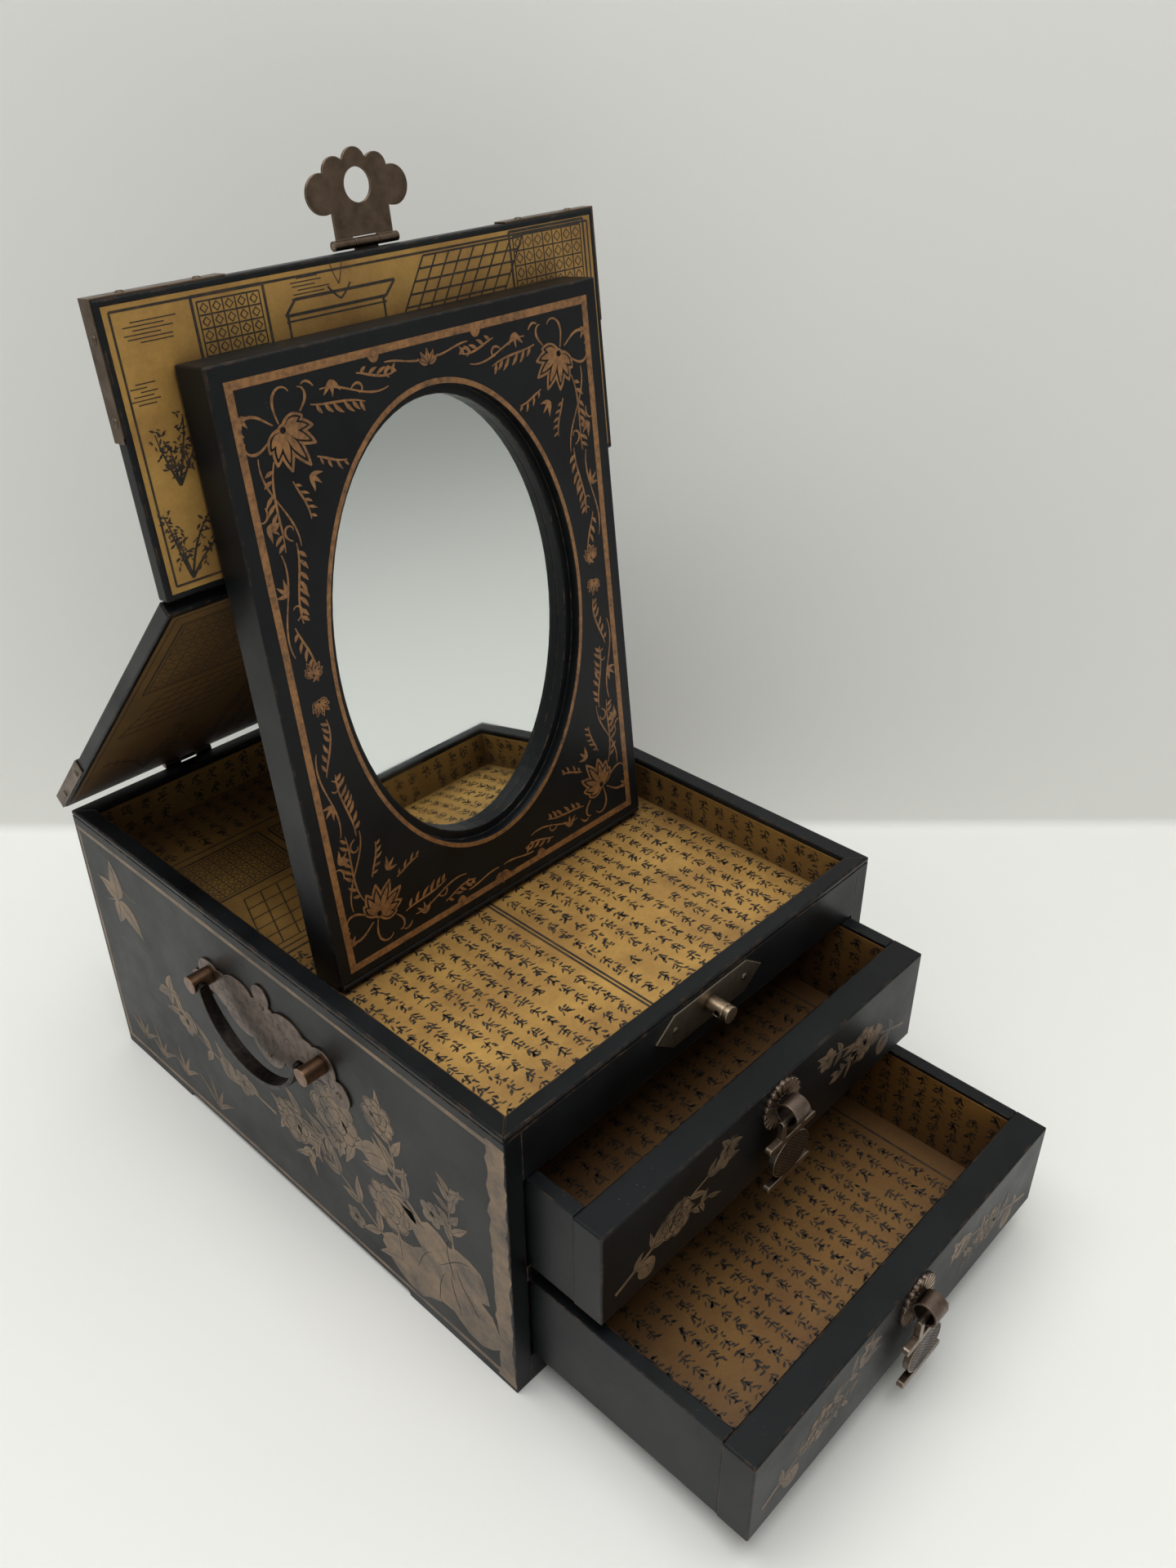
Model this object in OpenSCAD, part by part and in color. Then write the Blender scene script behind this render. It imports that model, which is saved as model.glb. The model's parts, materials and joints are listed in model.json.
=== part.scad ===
// Dressing box of black lacquered wood with metal mounts: a case with two drawers under a
// shallow tray, and a lid in two leaves that folds up into an easel for the mirror it carries.
// Millimetres. +X runs to the right along the front, +Y to the back, +Z up.
// The origin is on the floor, in the middle of the front apron's lower edge.

/* [Case] */
// Width of the case over its side panels
case_w = 190; // [180:1:210]
// Depth of the case from front to back
case_d = 250; // [248:1:270]
// Thickness of the side and back panels
panel_t = 7; // [6:0.5:8]
// Thickness of the front rail and the front apron
rail_t = 6.5; // [5.5:0.5:7]
// Height of the front rail under the rim
rail_h = 21.3; // [20.5:0.1:26]
// Height of the front apron under the lower drawer
apron_h = 13.4; // [11:0.2:16]
// Thickness of the base board behind the apron
board_t = 6; // [4:0.5:8]
// Thickness of the shelf between the drawers
shelf_t = 6.7; // [5:0.1:8]
// Thickness of the rim strips on top of the case
rim_t = 2.4; // [1.8:0.2:3]
// Width and height of the fine groove under the rim
rim_groove = 0.6; // [0.4:0.1:0.9]
// Open mitre between two rim strips
mitre_gap = 0.1; // [0.05:0.05:0.2]
// Height of the cut-out between the feet
foot_rise = 2.2; // [1:0.2:4]
// Length of each front foot along the side
front_foot_l = 58; // [40:1:70]
// Length of each back foot along the side
back_foot_l = 52; // [40:1:70]
// Thickness of the tray's floor board
tray_floor_t = 3; // [2:0.5:3.5]
// Thickness of the lining paper
paper_t = 0.3; // [0.2:0.1:0.4]
// Easing of the wooden edges
ease = 0.5; // [0.3:0.1:0.8]

/* [Drawers] */
// Height of the lower drawer
lower_drawer_h = 38.5; // [34:0.5:42]
// Height of the upper drawer
upper_drawer_h = 40.3; // [36:0.1:44]
// Thickness of a drawer front
front_t = 12; // [9:0.5:14]
// Thickness of a drawer's sides and back
drawer_side_t = 5; // [4:0.5:6]
// Thickness of a drawer's bottom board
drawer_bottom_t = 2.5; // [2:0.5:4]
// Gap under a drawer and behind it when it is shut
slide_gap = 0.3; // [0.2:0.1:0.5]
// Gap above each drawer
headroom = 0.6; // [0.4:0.1:1]
// Gap at each side of a drawer front
front_gap = 0.8; // [0.4:0.1:1.2]
// Gap at each side of a drawer box
side_gap = 1.4; // [0.8:0.1:2]
// Distance of a drawer lining's edge below the drawer's top
lining_drop = 1.5; // [0.5:0.5:4]
// How far the upper drawer stands open
upper_out = 31.6; // [20:0.1:60]
// How far the lower drawer stands open
lower_out = 90.8; // [60:0.1:110]

/* [Drawer pulls] */
// Radius of the fan-shaped backplate
fan_r = 10; // [9:0.5:11]
// Thickness of the backplate
fan_t = 1.4; // [1.2:0.1:1.8]
// Width of a flute on the backplate
flute_w = 0.8; // [0.4:0.1:0.9]
// Number of flutes on the backplate
fan_flutes = 20; // [12:1:22]
// Depth of the backplate's centre below the drawer's top edge
pull_depth = 10.5; // [10.5:0.5:14]
// Outer radius of the barrel loop
barrel_r = 4.6; // [4.2:0.1:4.8]
// Wall of the barrel loop
barrel_wall = 0.8; // [0.6:0.1:1]
// Width of the barrel loop
barrel_w = 7.4; // [6:0.2:8]
// Distance of the barrel's centre in front of the drawer
barrel_reach = 5.5; // [5.4:0.1:6]
// Radius of the round bar in the barrel
bar_r = 1.2; // [1:0.1:1.3]
// Thickness of the hanging drop
drop_t = 2.4; // [1.8:0.2:2.8]
// Width of the drop's two arch legs
arch_leg_w = 2.2; // [1.6:0.2:2.6]
// Width of the drop's upper crossbar
crossbar_w = 26; // [22:1:28]
// Width of the drop's lower crossbar
footbar_w = 24; // [20:1:26]
// Height of each crossbar
crossbar_h = 2.6; // [2:0.2:3]
// Width of the drop's oval body
oval_w = 20; // [16:1:22]
// Height of the drop's oval body
oval_h = 17.5; // [14:0.5:20]

/* [Side handles] */
// Depth of the posts below the case's top
handle_drop = 31.4; // [28:0.2:40]
// Distance between the two posts of a handle
post_spacing = 68; // [60:1:76]
// Radius of a post
post_r = 3.5; // [3:0.1:4]
// How far a post stands out of the side panel
post_reach = 9.5; // [9:0.1:11]
// Distance of the bail's axis from the side panel
bail_offset = 6.8; // [6.5:0.1:7]
// Depth of the bail below its axis
bail_depth = 22; // [18:0.5:26]
// Width of the bail's strip at its middle
bail_w = 5.2; // [4.2:0.2:5.6]
// Thickness of the bail's strip
bail_t = 1.6; // [1.2:0.1:1.8]
// Radius of the bail's pins
bail_pin_r = 1.3; // [1:0.1:1.4]
// Running clearance of every pin
pin_gap = 0.05; // [0.03:0.01:0.08]
// Thickness of the mounts' sheet metal
sheet_t = 0.8; // [0.6:0.1:1]

/* [Staple and hasp] */
// Depth of the staple below the case's top
staple_drop = 10; // [9:0.2:11]
// Width of the staple plate
staple_w = 56; // [48:1:64]
// Height of the staple plate
staple_h = 14; // [12:0.5:15]
// Width of the staple plate's level edges
staple_flat = 38; // [30:1:44]
// Radius of the staple post
staple_r = 3.15; // [2.6:0.05:3.4]
// How far the post stands out of the staple plate
staple_reach = 8.8; // [7.5:0.1:11]
// Radius of the padlock hole through the post
padlock_r = 1.25; // [1:0.05:1.4]
// Radius of the hasp's knuckles
hasp_knuckle_r = 1.5; // [1.3:0.1:1.6]
// Radius of the hasp's pin
hasp_pin_r = 0.7; // [0.5:0.1:0.8]
// Width of the hasp at its hinge
hasp_w = 25; // [22:1:28]
// Radius of the hasp's eye
hasp_eye_r = 5; // [4.6:0.1:5.4]

/* [Lid] */
// Thickness of the lid's leaves
leaf_t = 5.4; // [4.8:0.2:6.6]
// How far the lid stands out past the case at its sides and front
lid_overhang = 1.8; // [1:0.1:2.4]
// Depth of the front leaf, from its edge to the fold
front_leaf_d = 85; // [80:1:90]
// Gap between the case and the shut lid
lid_gap = 0.3; // [0.2:0.1:0.5]
// Gap between the two leaves at the fold
leaf_gap = 0.6; // [0.4:0.1:1]
// Angle from the shut lid to the standing mirror
open_angle = 97; // [94:0.5:98]
// Width of the lacquered border round the leaves' paper
leaf_border = 2; // [1.5:0.5:6]
// Radius of the fold hinges' knuckles
fold_knuckle_r = 1.6; // [1.4:0.1:1.7]
// Radius of the fold hinges' pins
fold_pin_r = 0.8; // [0.6:0.1:0.9]
// Width of a lid hinge
hinge_w = 22; // [18:1:28]
// Distance of a fold hinge's middle from the leaf's side edge
fold_hinge_inset = 40; // [30:1:60]
// Radius of the rear hinges' knuckles
rear_knuckle_r = 1.5; // [1.4:0.1:1.7]
// Length of a hinge plate on the lid
hinge_plate_l = 12; // [9:1:16]
// Length of a corner mount along the leaf's side edge
corner_side_l = 38; // [30:1:44]
// Length of a corner mount along the leaf's end edge
corner_end_l = 42; // [34:1:46]
// Thickness of the corner mounts
corner_t = 0.6; // [0.4:0.1:0.8]
// Gap between a rear hinge and the corner mount beside it
hinge_margin = 3; // [1:0.5:10]
// Distance of the mounts' nails from the ends of their plates
nail_inset = 4; // [3:0.5:5]

/* [Mirror] */
// Width of the mirror frame
mirror_w = 156; // [140:1:164]
// Height of the mirror frame
mirror_h = 211; // [208:1:214]
// Thickness of the mirror frame
mirror_t = 15.4; // [14.4:0.2:15.6]
// Distance of the frame's top behind the lid's front edge
mirror_inset = 20; // [18:0.5:21]
// Thickness of the spacers between the frame and the front leaf
spacer_t = 0.94; // [0.8:0.02:1.2]
// Half width of the oval opening
oval_rx = 55; // [48:1:58]
// Half height of the oval opening
oval_ry = 82; // [74:1:86]
// Distance of the oval's centre from the frame's foot
oval_up = 108.5; // [104:0.5:110]
// Width of the step round the glass
step_w = 3.5; // [2.5:0.5:5]
// Depth of each step of the oval
step_d = 4; // [3:0.5:4.5]
// Thickness of the glass
glass_t = 2; // [1.5:0.5:2.5]
// Margin of the glass round the oval
glass_lap = 5; // [4:0.5:8]
// Radius of the bead along the frame's foot
bead_r = 1.2; // [1:0.1:1.4]
// Depth of the bead's axis inside the foot's edge
bead_inset = 0.9; // [0.8:0.05:1]
// Gap between the standing foot and the tray's lining
foot_gap = 0.3; // [0.2:0.1:0.5]

/* [Hidden] */
$fn = 48;
eps = 0.01;
lacquer = "#26292c";
paper = "#af8746";
bronze = "#6a5846";
brass = "#96826a";
silvering = "#c9d2d6";

// Plan of the case
left_x = -case_w / 2;
right_x = case_w / 2;
inner_x = right_x - panel_t;
front_y = -rail_t / 2;
back_y = front_y + case_d;
rail_y = front_y + rail_t;
back_inner_y = back_y - panel_t;

// Levels of the case, from the floor up
lower_z = apron_h + slide_gap;
lower_top = lower_z + lower_drawer_h;
shelf_z = lower_top + headroom;
upper_z = shelf_z + shelf_t + slide_gap;
upper_top = upper_z + upper_drawer_h;
rail_z = upper_top + headroom;
panel_h = rail_z + rail_h;
case_h = panel_h + rim_t;

// The shut lid, its fold axis and the rear hinge's axis, as [y, z]
leaf_z = case_h + lid_gap;
leaf_top = leaf_z + leaf_t;
leaf_x = right_x + lid_overhang;
lid_front_y = front_y - lid_overhang;
fold_shut = [lid_front_y + front_leaf_d, leaf_top];
rear_axis = [back_y + sheet_t + 1.2, case_h + sheet_t];

// The shut mirror hangs under the lid, glass down
mirror_z = leaf_z - spacer_t - mirror_t;
mirror_top_y = lid_front_y + mirror_inset;
mirror_foot_y = mirror_top_y + mirror_h;
foot_shut = [mirror_foot_y - bead_inset, mirror_z + bead_inset];

// Turns a [y, z] pair back by an angle, as the lid opens
function opened(p, a) = [p[0] * cos(a) + p[1] * sin(a), p[1] * cos(a) - p[0] * sin(a)];

// The standing mirror: its foot rolls along one level, and the rear leaf props the fold
fold_from_foot = opened(fold_shut - foot_shut, open_angle);
fold_open_z = foot_shut[1] + fold_from_foot[1];
prop_l = norm(fold_shut - rear_axis);
prop_rise = fold_open_z - rear_axis[1];
fold_open = [rear_axis[0] - sqrt(prop_l * prop_l - prop_rise * prop_rise), fold_open_z];
foot_open = [fold_open[0] - fold_from_foot[0], foot_shut[1]];
shut_rise = fold_shut[1] - rear_axis[1];
prop_angle = asin(prop_rise / prop_l) - asin(shut_rise / prop_l);

// The tray is as deep as the standing foot needs
heel = opened([bead_inset, mirror_t - bead_inset], open_angle);
lining_z = foot_open[1] + heel[1] - foot_gap;
tray_z = lining_z - paper_t;

// Metal mounts
handle_z = case_h - handle_drop;
staple_z = case_h - staple_drop;
hasp_axis = [lid_front_y - hasp_knuckle_r - 0.4, leaf_top + sheet_t / 2];
hasp_eye_d = hasp_axis[1] - staple_z;
knuckle_gap = 0.3;
fold_hinge_x = [-1, 1] * (leaf_x - fold_hinge_inset);
rear_hinge_x = [-1, 1] * (leaf_x - corner_end_l - hinge_margin - hinge_w / 2);
rear_hinge_h = hinge_plate_l + nail_inset;

// ---------------------------------------------------------------- shapes used by many pieces

module block(low, high) {
  translate(low) cube(high - low);
}

// Rectangle with small chamfers, between two corners
module chamfered(low, high, c) {
  polygon([
    [low[0] + c, low[1]], [high[0] - c, low[1]], [high[0], low[1] + c], [high[0], high[1] - c],
    [high[0] - c, high[1]], [low[0] + c, high[1]], [low[0], high[1] - c], [low[0], low[1] + c]
  ]);
}

// Extrusions of an outline drawn in the (y, z) and the (x, z) plane
module along_x(x, length) {
  translate([x, 0, 0]) rotate([90, 0, 90]) linear_extrude(length) children();
}

module along_y(y, length) {
  translate([0, y + length, 0]) rotate([90, 0, 0]) linear_extrude(length) children();
}

// Wooden block whose twelve edges are eased
module eased_block(low, high, c = ease) {
  intersection() {
    translate([0, 0, low[2]])
      linear_extrude(high[2] - low[2]) chamfered([low[0], low[1]], [high[0], high[1]], c);
    along_x(low[0], high[0] - low[0]) chamfered([low[1], low[2]], [high[1], high[2]], c);
    along_y(low[1], high[1] - low[1]) chamfered([low[0], low[2]], [high[0], high[2]], c);
  }
}

module rod_x(p, r, x0, x1) {
  translate([x0, p[0], p[1]]) rotate([0, 90, 0]) cylinder(r = r, h = x1 - x0);
}

// Low nail head that stands on the floor plane
module nail_head() {
  cylinder(r1 = 1.5, r2 = 0.9, h = 0.5, $fn = 20);
}

// Open paper tray, with its floor and four walls in one sheet
module paper_tray(low, high) {
  difference() {
    block(low, high);
    block(low + [paper_t, paper_t, paper_t], high + [-paper_t, -paper_t, 1]);
  }
}

// Places what is drawn on the shut lid where the open lid holds it
module on_mirror_pair() {
  translate([0, foot_open[0], foot_open[1]]) rotate([-open_angle, 0, 0])
    translate([0, -foot_shut[0], -foot_shut[1]]) children();
}

module on_rear_leaf() {
  translate([0, rear_axis[0], rear_axis[1]]) rotate([-prop_angle, 0, 0])
    translate([0, -rear_axis[0], -rear_axis[1]]) children();
}

// ---------------------------------------------------------------- the case

module side_wall(x) {
  color(lacquer) along_x(x, panel_t) difference() {
    polygon([[front_y, 0], [back_y, 0], [back_y, panel_h], [front_y, panel_h]]);
    translate([front_y + front_foot_l, -foot_rise])
      square([case_d - front_foot_l - back_foot_l, 2 * foot_rise]);
    translate([front_y + front_foot_l, 0]) circle(foot_rise);
    translate([back_y - back_foot_l, 0]) circle(foot_rise);
  }
}

module back_panel() {
  color(lacquer) block([-inner_x, back_inner_y, 0], [inner_x, back_y, panel_h]);
}

module front_rail() {
  color(lacquer) block([-inner_x, front_y, rail_z], [inner_x, rail_y, panel_h]);
}

module front_apron() {
  color(lacquer) block([-inner_x, front_y, 0], [inner_x, rail_y, apron_h]);
}

module base_board() {
  color(lacquer)
    block([-inner_x, rail_y, apron_h - board_t], [inner_x, back_inner_y, apron_h]);
}

module drawer_shelf() {
  color(lacquer)
    block([-inner_x, front_y, shelf_z], [inner_x, back_inner_y, shelf_z + shelf_t]);
}

module tray_floor() {
  color(lacquer)
    block([-inner_x, rail_y, tray_z - tray_floor_t], [inner_x, back_inner_y, tray_z]);
}

// One rim strip along +X, with its outer edge on y = 0 and mitred ends
module rim_strip(length, width, end_a, end_b) {
  intersection() {
    along_x(0, length) polygon([
      [rim_groove, 0], [width, 0], [width, rim_t - ease], [width - ease, rim_t],
      [ease, rim_t], [0, rim_t - ease], [0, rim_groove], [rim_groove, rim_groove]
    ]);
    linear_extrude(rim_t + 1) polygon([
      [mitre_gap, 0], [length - mitre_gap, 0],
      [length - end_b - mitre_gap, width], [end_a + mitre_gap, width]
    ]);
  }
}

module tray_rim() {
  color(lacquer) translate([0, 0, panel_h]) {
    translate([left_x, front_y, 0]) rim_strip(case_w, rail_t, panel_t, panel_t);
    translate([right_x, back_y, 0]) rotate(180) rim_strip(case_w, panel_t, panel_t, panel_t);
    translate([right_x, front_y, 0]) rotate(90) rim_strip(case_d, panel_t, rail_t, panel_t);
    translate([left_x, back_y, 0]) rotate(-90) rim_strip(case_d, panel_t, panel_t, rail_t);
  }
}

module tray_lining() {
  color(paper) paper_tray([-inner_x, rail_y, tray_z], [inner_x, back_inner_y, panel_h]);
}

// ---------------------------------------------------------------- staple

module staple_plate() {
  color(bronze) along_y(front_y - sheet_t, sheet_t) polygon([
    [-staple_w / 2, staple_z], [-staple_flat / 2, staple_z - staple_h / 2],
    [staple_flat / 2, staple_z - staple_h / 2], [staple_w / 2, staple_z],
    [staple_flat / 2, staple_z + staple_h / 2], [-staple_flat / 2, staple_z + staple_h / 2]
  ]);
}

module staple_post() {
  base_y = front_y - sheet_t;
  ring_y = base_y - staple_reach + 2.2;
  color(brass) difference() {
    translate([0, base_y, staple_z]) rotate([90, 0, 0]) cylinder(r = staple_r, h = staple_reach);
    translate([0, ring_y, staple_z]) rotate([90, 0, 0]) difference() {
      cylinder(r = staple_r + 1, h = 0.7);
      cylinder(r = staple_r - 0.35, h = 3, center = true);
    }
    rod_x([ring_y + padlock_r + 0.5, staple_z], padlock_r, -staple_r - 1, staple_r + 1);
  }
}

// ---------------------------------------------------------------- side handles

// Lobes of a handle plate as [along, up, radius], from its middle to its end
cloud_lobes = post_spacing * [
  [0, 0.14, 0.073], [0, -0.05, 0.16], [0, -0.19, 0.147], [0.22, -0.06, 0.19],
  [0.38, -0.04, 0.12], [0.5, -0.015, 0.11], [0.617, -0.132, 0.088]
];
handle_nails = post_spacing * [[0, 0.07], [0, -0.27], [-0.617, -0.14], [0.617, -0.14]];

// Cloud outline of a handle plate in the (y, z) plane, from its middle
module cloud_outline() {
  for (s = [-1, 1], lobe = cloud_lobes) translate([s * lobe[0], lobe[1]]) circle(lobe[2]);
}

handle_mid_y = front_y + case_d / 2;
// Mirrors a right-hand mount to the side s = 1 or -1, at the height of the handle's axis
module on_side(s) {
  mirror([s < 0 ? 1 : 0, 0, 0]) translate([right_x, handle_mid_y, handle_z]) children();
}

module handle_plate(s) {
  color(bronze) on_side(s) rotate([90, 0, 90]) linear_extrude(sheet_t) cloud_outline();
}

module handle_posts(s) {
  color(brass) on_side(s) for (m = [-1, 1]) difference() {
    translate([sheet_t, m * post_spacing / 2, 0]) rotate([0, 90, 0])
      cylinder(r = post_r, h = post_reach - sheet_t);
    translate([bail_offset, m * (post_spacing / 2 + 0.5), 0]) rotate([m * 90, 0, 0])
      cylinder(r = bail_pin_r + pin_gap, h = post_r + 2);
  }
}

// The bail's arc runs through its two ends and its lowest point
bail_end_y = post_spacing / 2 - post_r - 1.5;
bail_end_r = bail_pin_r + 0.7;
bail_r = (bail_end_y * bail_end_y + bail_depth * bail_depth) / (2 * bail_depth);

// Flat strip bent to an arc, slimmer towards its two ends, which turn out as pins
module bail(s) {
  strip_z = bail_r - bail_depth;
  pin_l = post_spacing / 2 - 0.2 - bail_end_y;
  color(bronze) on_side(s) translate([bail_offset, 0, 0]) {
    intersection() {
      along_x(-bail_w / 2, bail_w) difference() {
        translate([0, strip_z]) circle(bail_r + bail_t / 2, $fn = 96);
        translate([0, strip_z]) circle(bail_r - bail_t / 2, $fn = 96);
        translate([-2 * bail_r, 0]) square(4 * bail_r);
      }
      along_y(-post_spacing / 2, post_spacing) polygon([
        [-bail_end_r, 0], [bail_end_r, 0], [bail_w / 2, -bail_depth * 0.6],
        [bail_w / 2, -bail_depth - bail_t], [-bail_w / 2, -bail_depth - bail_t],
        [-bail_w / 2, -bail_depth * 0.6]
      ]);
    }
    for (m = [-1, 1]) translate([0, m * bail_end_y, 0]) {
      rotate([90, 0, 0]) cylinder(r = bail_end_r, h = bail_t, center = true);
      rotate([-m * 90, 0, 0]) cylinder(r = bail_pin_r, h = pin_l);
    }
  }
}

module case_nails() {
  color(bronze) {
    for (m = [-1, 1]) translate([m * (staple_flat / 2 - 0.7), front_y - sheet_t, staple_z])
      rotate([90, 0, 0]) nail_head();
    for (s = [-1, 1], nail = handle_nails) on_side(s)
      translate([sheet_t, nail[0], nail[1]]) rotate([0, 90, 0]) nail_head();
    for (x = rear_hinge_x, m = [-1, 1])
      translate([x + m * hinge_w * 0.3, back_y + sheet_t, case_h - rear_hinge_h + nail_inset])
        rotate([-90, 0, 0]) nail_head();
  }
}

// ---------------------------------------------------------------- drawers

function drawer_y(out) = front_y - out;
drawer_back_y = back_inner_y - slide_gap;
drawer_x = inner_x - side_gap;

module drawer_front(z, h, out) {
  x = inner_x - front_gap;
  color(lacquer) eased_block([-x, drawer_y(out), z], [x, drawer_y(out) + front_t, z + h]);
}

module drawer_side(s, z, h, out) {
  x0 = s > 0 ? drawer_x - drawer_side_t : -drawer_x;
  color(lacquer)
    block([x0, drawer_y(out) + front_t, z], [x0 + drawer_side_t, drawer_back_y - out, z + h]);
}

module drawer_back(z, h, out) {
  x = drawer_x - drawer_side_t;
  color(lacquer)
    block([-x, drawer_back_y - out - drawer_side_t, z], [x, drawer_back_y - out, z + h]);
}

module drawer_bottom(z, out) {
  x = drawer_x - drawer_side_t;
  color(lacquer) block([-x, drawer_y(out) + front_t, z],
    [x, drawer_back_y - out - drawer_side_t, z + drawer_bottom_t]);
}

module drawer_lining(z, h, out) {
  x = drawer_x - drawer_side_t;
  color(paper) paper_tray([-x, drawer_y(out) + front_t, z + drawer_bottom_t],
    [x, drawer_back_y - out - drawer_side_t, z + h - lining_drop]);
}

// ---------------------------------------------------------------- drawer pulls

bar_gap = 0.3;
bar_drop = barrel_r - barrel_wall - bar_r - bar_gap;

// Fluted fan plate with the barrel loop that the drop hangs in
module pull_plate(z_top, out) {
  lobe_r = fan_r * sin(180 / fan_flutes);
  color(bronze) translate([0, drawer_y(out), z_top - pull_depth]) difference() {
    union() {
      rotate([90, 0, 0]) difference() {
        linear_extrude(fan_t) union() {
          circle(fan_r - lobe_r / 3);
          for (k = [0 : fan_flutes - 1])
            rotate(k * 360 / fan_flutes) translate([fan_r - lobe_r, 0]) circle(lobe_r, $fn = 24);
        }
        for (k = [0 : fan_flutes - 1]) rotate((k + 0.5) * 360 / fan_flutes)
          translate([1.4 * fan_r, 0, fan_t]) rotate([45, 0, 0])
            cube([2 * fan_r, flute_w, flute_w], center = true);
      }
      rod_x([-barrel_reach, 0], barrel_r, -barrel_w / 2, barrel_w / 2);
    }
    rod_x([-barrel_reach, 0], barrel_r - barrel_wall, -barrel_w, barrel_w);
    block([-barrel_w, 0, -fan_r], [barrel_w, fan_r, fan_r]);
  }
}

// Arch, crossbars and oval body in one plane, hung by the round bar in the barrel
module pull_drop(z_top, out) {
  arch_in = barrel_w / 2 + 0.5;
  leg_l = 8;
  top_z = -leg_l + crossbar_h / 2;
  oval_z = -leg_l - crossbar_h / 2 - oval_h / 2 + 0.6;
  foot_z = oval_z - oval_h / 2 + 0.6;
  color(brass)
    translate([0, drawer_y(out) - barrel_reach, z_top - pull_depth - bar_drop]) {
      rod_x([0, 0], bar_r, -arch_in - arch_leg_w / 2, arch_in + arch_leg_w / 2);
      for (s = [-1, 1]) translate([s * (arch_in + arch_leg_w / 2), 0, 0]) {
        rotate([0, 90, 0]) cylinder(r = drop_t / 2, h = arch_leg_w, center = true);
        block([-arch_leg_w / 2, -drop_t / 2, -leg_l], [arch_leg_w / 2, drop_t / 2, 0]);
      }
      rotate([90, 0, 0]) translate([0, 0, -drop_t / 2]) linear_extrude(drop_t) {
        round_bar(crossbar_w, crossbar_h, top_z - crossbar_h / 2);
        translate([0, oval_z]) polygon([for (a = [0 : 7.5 : 359])
          [oval_w / 2 * cos(a), oval_h / 2 * sin(a)]]);
        round_bar(footbar_w, crossbar_h, foot_z - crossbar_h / 2);
      }
    }
}

// Level bar with two round ends, centred at the height z
module round_bar(w, h, z) {
  translate([-w / 2 + h / 2, z - h / 2]) square([w - h, h]);
  for (s = [-1, 1]) translate([s * (w - h) / 2, z]) circle(h / 2, $fn = 24);
}

// ---------------------------------------------------------------- lid hinges

// Three knuckles of a hinge: part 0 keeps the outer two and part 1 the middle one
function knuckles(part) = part == 0
  ? [[-hinge_w / 2, -hinge_w / 6 - knuckle_gap / 2], [hinge_w / 6 + knuckle_gap / 2, hinge_w / 2]]
  : [[-hinge_w / 6 + knuckle_gap / 2, hinge_w / 6 - knuckle_gap / 2]];

// Half of a fold hinge on a leaf's outer face; s = -1 lies towards the front
module fold_half(s, part) {
  clear = fold_knuckle_r + 2 * knuckle_gap;
  for (x = fold_hinge_x)
    translate([x, fold_shut[0], fold_shut[1]]) difference() {
      union() {
        translate([-hinge_w / 2, s > 0 ? clear : -hinge_plate_l, 0])
          cube([hinge_w, hinge_plate_l - clear, sheet_t]);
        for (k = knuckles(part)) {
          translate([k[0], s > 0 ? 0 : -clear - eps, 0]) cube([k[1] - k[0], clear + eps, sheet_t]);
          rod_x([0, 0], fold_knuckle_r, k[0], k[1]);
        }
      }
      rod_x([0, 0], fold_pin_r + pin_gap, -hinge_w, hinge_w);
    }
}

// Hollows in a leaf's corner that let the fold knuckles turn
module fold_relief() {
  for (x = fold_hinge_x)
    rod_x(fold_shut, fold_knuckle_r + knuckle_gap,
      x - hinge_w / 2 - knuckle_gap, x + hinge_w / 2 + knuckle_gap);
}

module fold_hinge_front() {
  color(bronze) on_mirror_pair() fold_half(-1, 0);
}

module fold_hinge_rear() {
  color(bronze) on_rear_leaf() fold_half(1, 1);
}

module fold_hinge_pins() {
  color(brass) on_rear_leaf() for (x = fold_hinge_x)
    rod_x(fold_shut, fold_pin_r, x - hinge_w / 2, x + hinge_w / 2);
}

// The rear hinge's knuckles meet on one axis and lift apart while the lid folds
module rear_hinge_case() {
  strap_y = back_y + knuckle_gap;
  color(bronze) for (x = rear_hinge_x) translate([x, 0, 0]) {
    block([-hinge_w / 2, back_y, case_h - rear_hinge_h],
      [hinge_w / 2, back_y + sheet_t, rear_axis[1] - rear_knuckle_r - knuckle_gap]);
    for (k = knuckles(0)) {
      block([k[0], strap_y, rear_axis[1] - rear_knuckle_r - 3 * knuckle_gap],
        [k[1], rear_axis[0] - sheet_t, rear_axis[1]]);
      rod_x(rear_axis, rear_knuckle_r, k[0], k[1]);
    }
  }
}

module rear_hinge_leaf() {
  plate_z = rear_axis[1] + rear_knuckle_r + knuckle_gap;
  color(bronze) on_rear_leaf() for (x = rear_hinge_x) translate([x, 0, 0]) {
    block([-hinge_w / 2, back_y, plate_z], [hinge_w / 2, back_y + sheet_t, leaf_top]);
    for (k = knuckles(1)) {
      block([k[0], back_y, rear_axis[1]], [k[1], rear_axis[0] - sheet_t, plate_z + eps]);
      rod_x(rear_axis, rear_knuckle_r, k[0], k[1]);
    }
  }
}

// ---------------------------------------------------------------- lid leaves and their mounts

// The shut leaves' ends along y
front_leaf_y = [lid_front_y, fold_shut[0] - leaf_gap / 2];
rear_leaf_y = [fold_shut[0] + leaf_gap / 2, back_y];

module leaf(ends) {
  difference() {
    eased_block([-leaf_x, ends[0], leaf_z], [leaf_x, ends[1], leaf_top]);
    block([-leaf_x + leaf_border, ends[0] + leaf_border, leaf_z - 1],
      [leaf_x - leaf_border, ends[1] - leaf_border, leaf_z + paper_t]);
    fold_relief();
  }
}

module leaf_paper(ends) {
  block([-leaf_x + leaf_border, ends[0] + leaf_border, leaf_z],
    [leaf_x - leaf_border, ends[1] - leaf_border, leaf_z + paper_t]);
}

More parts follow.
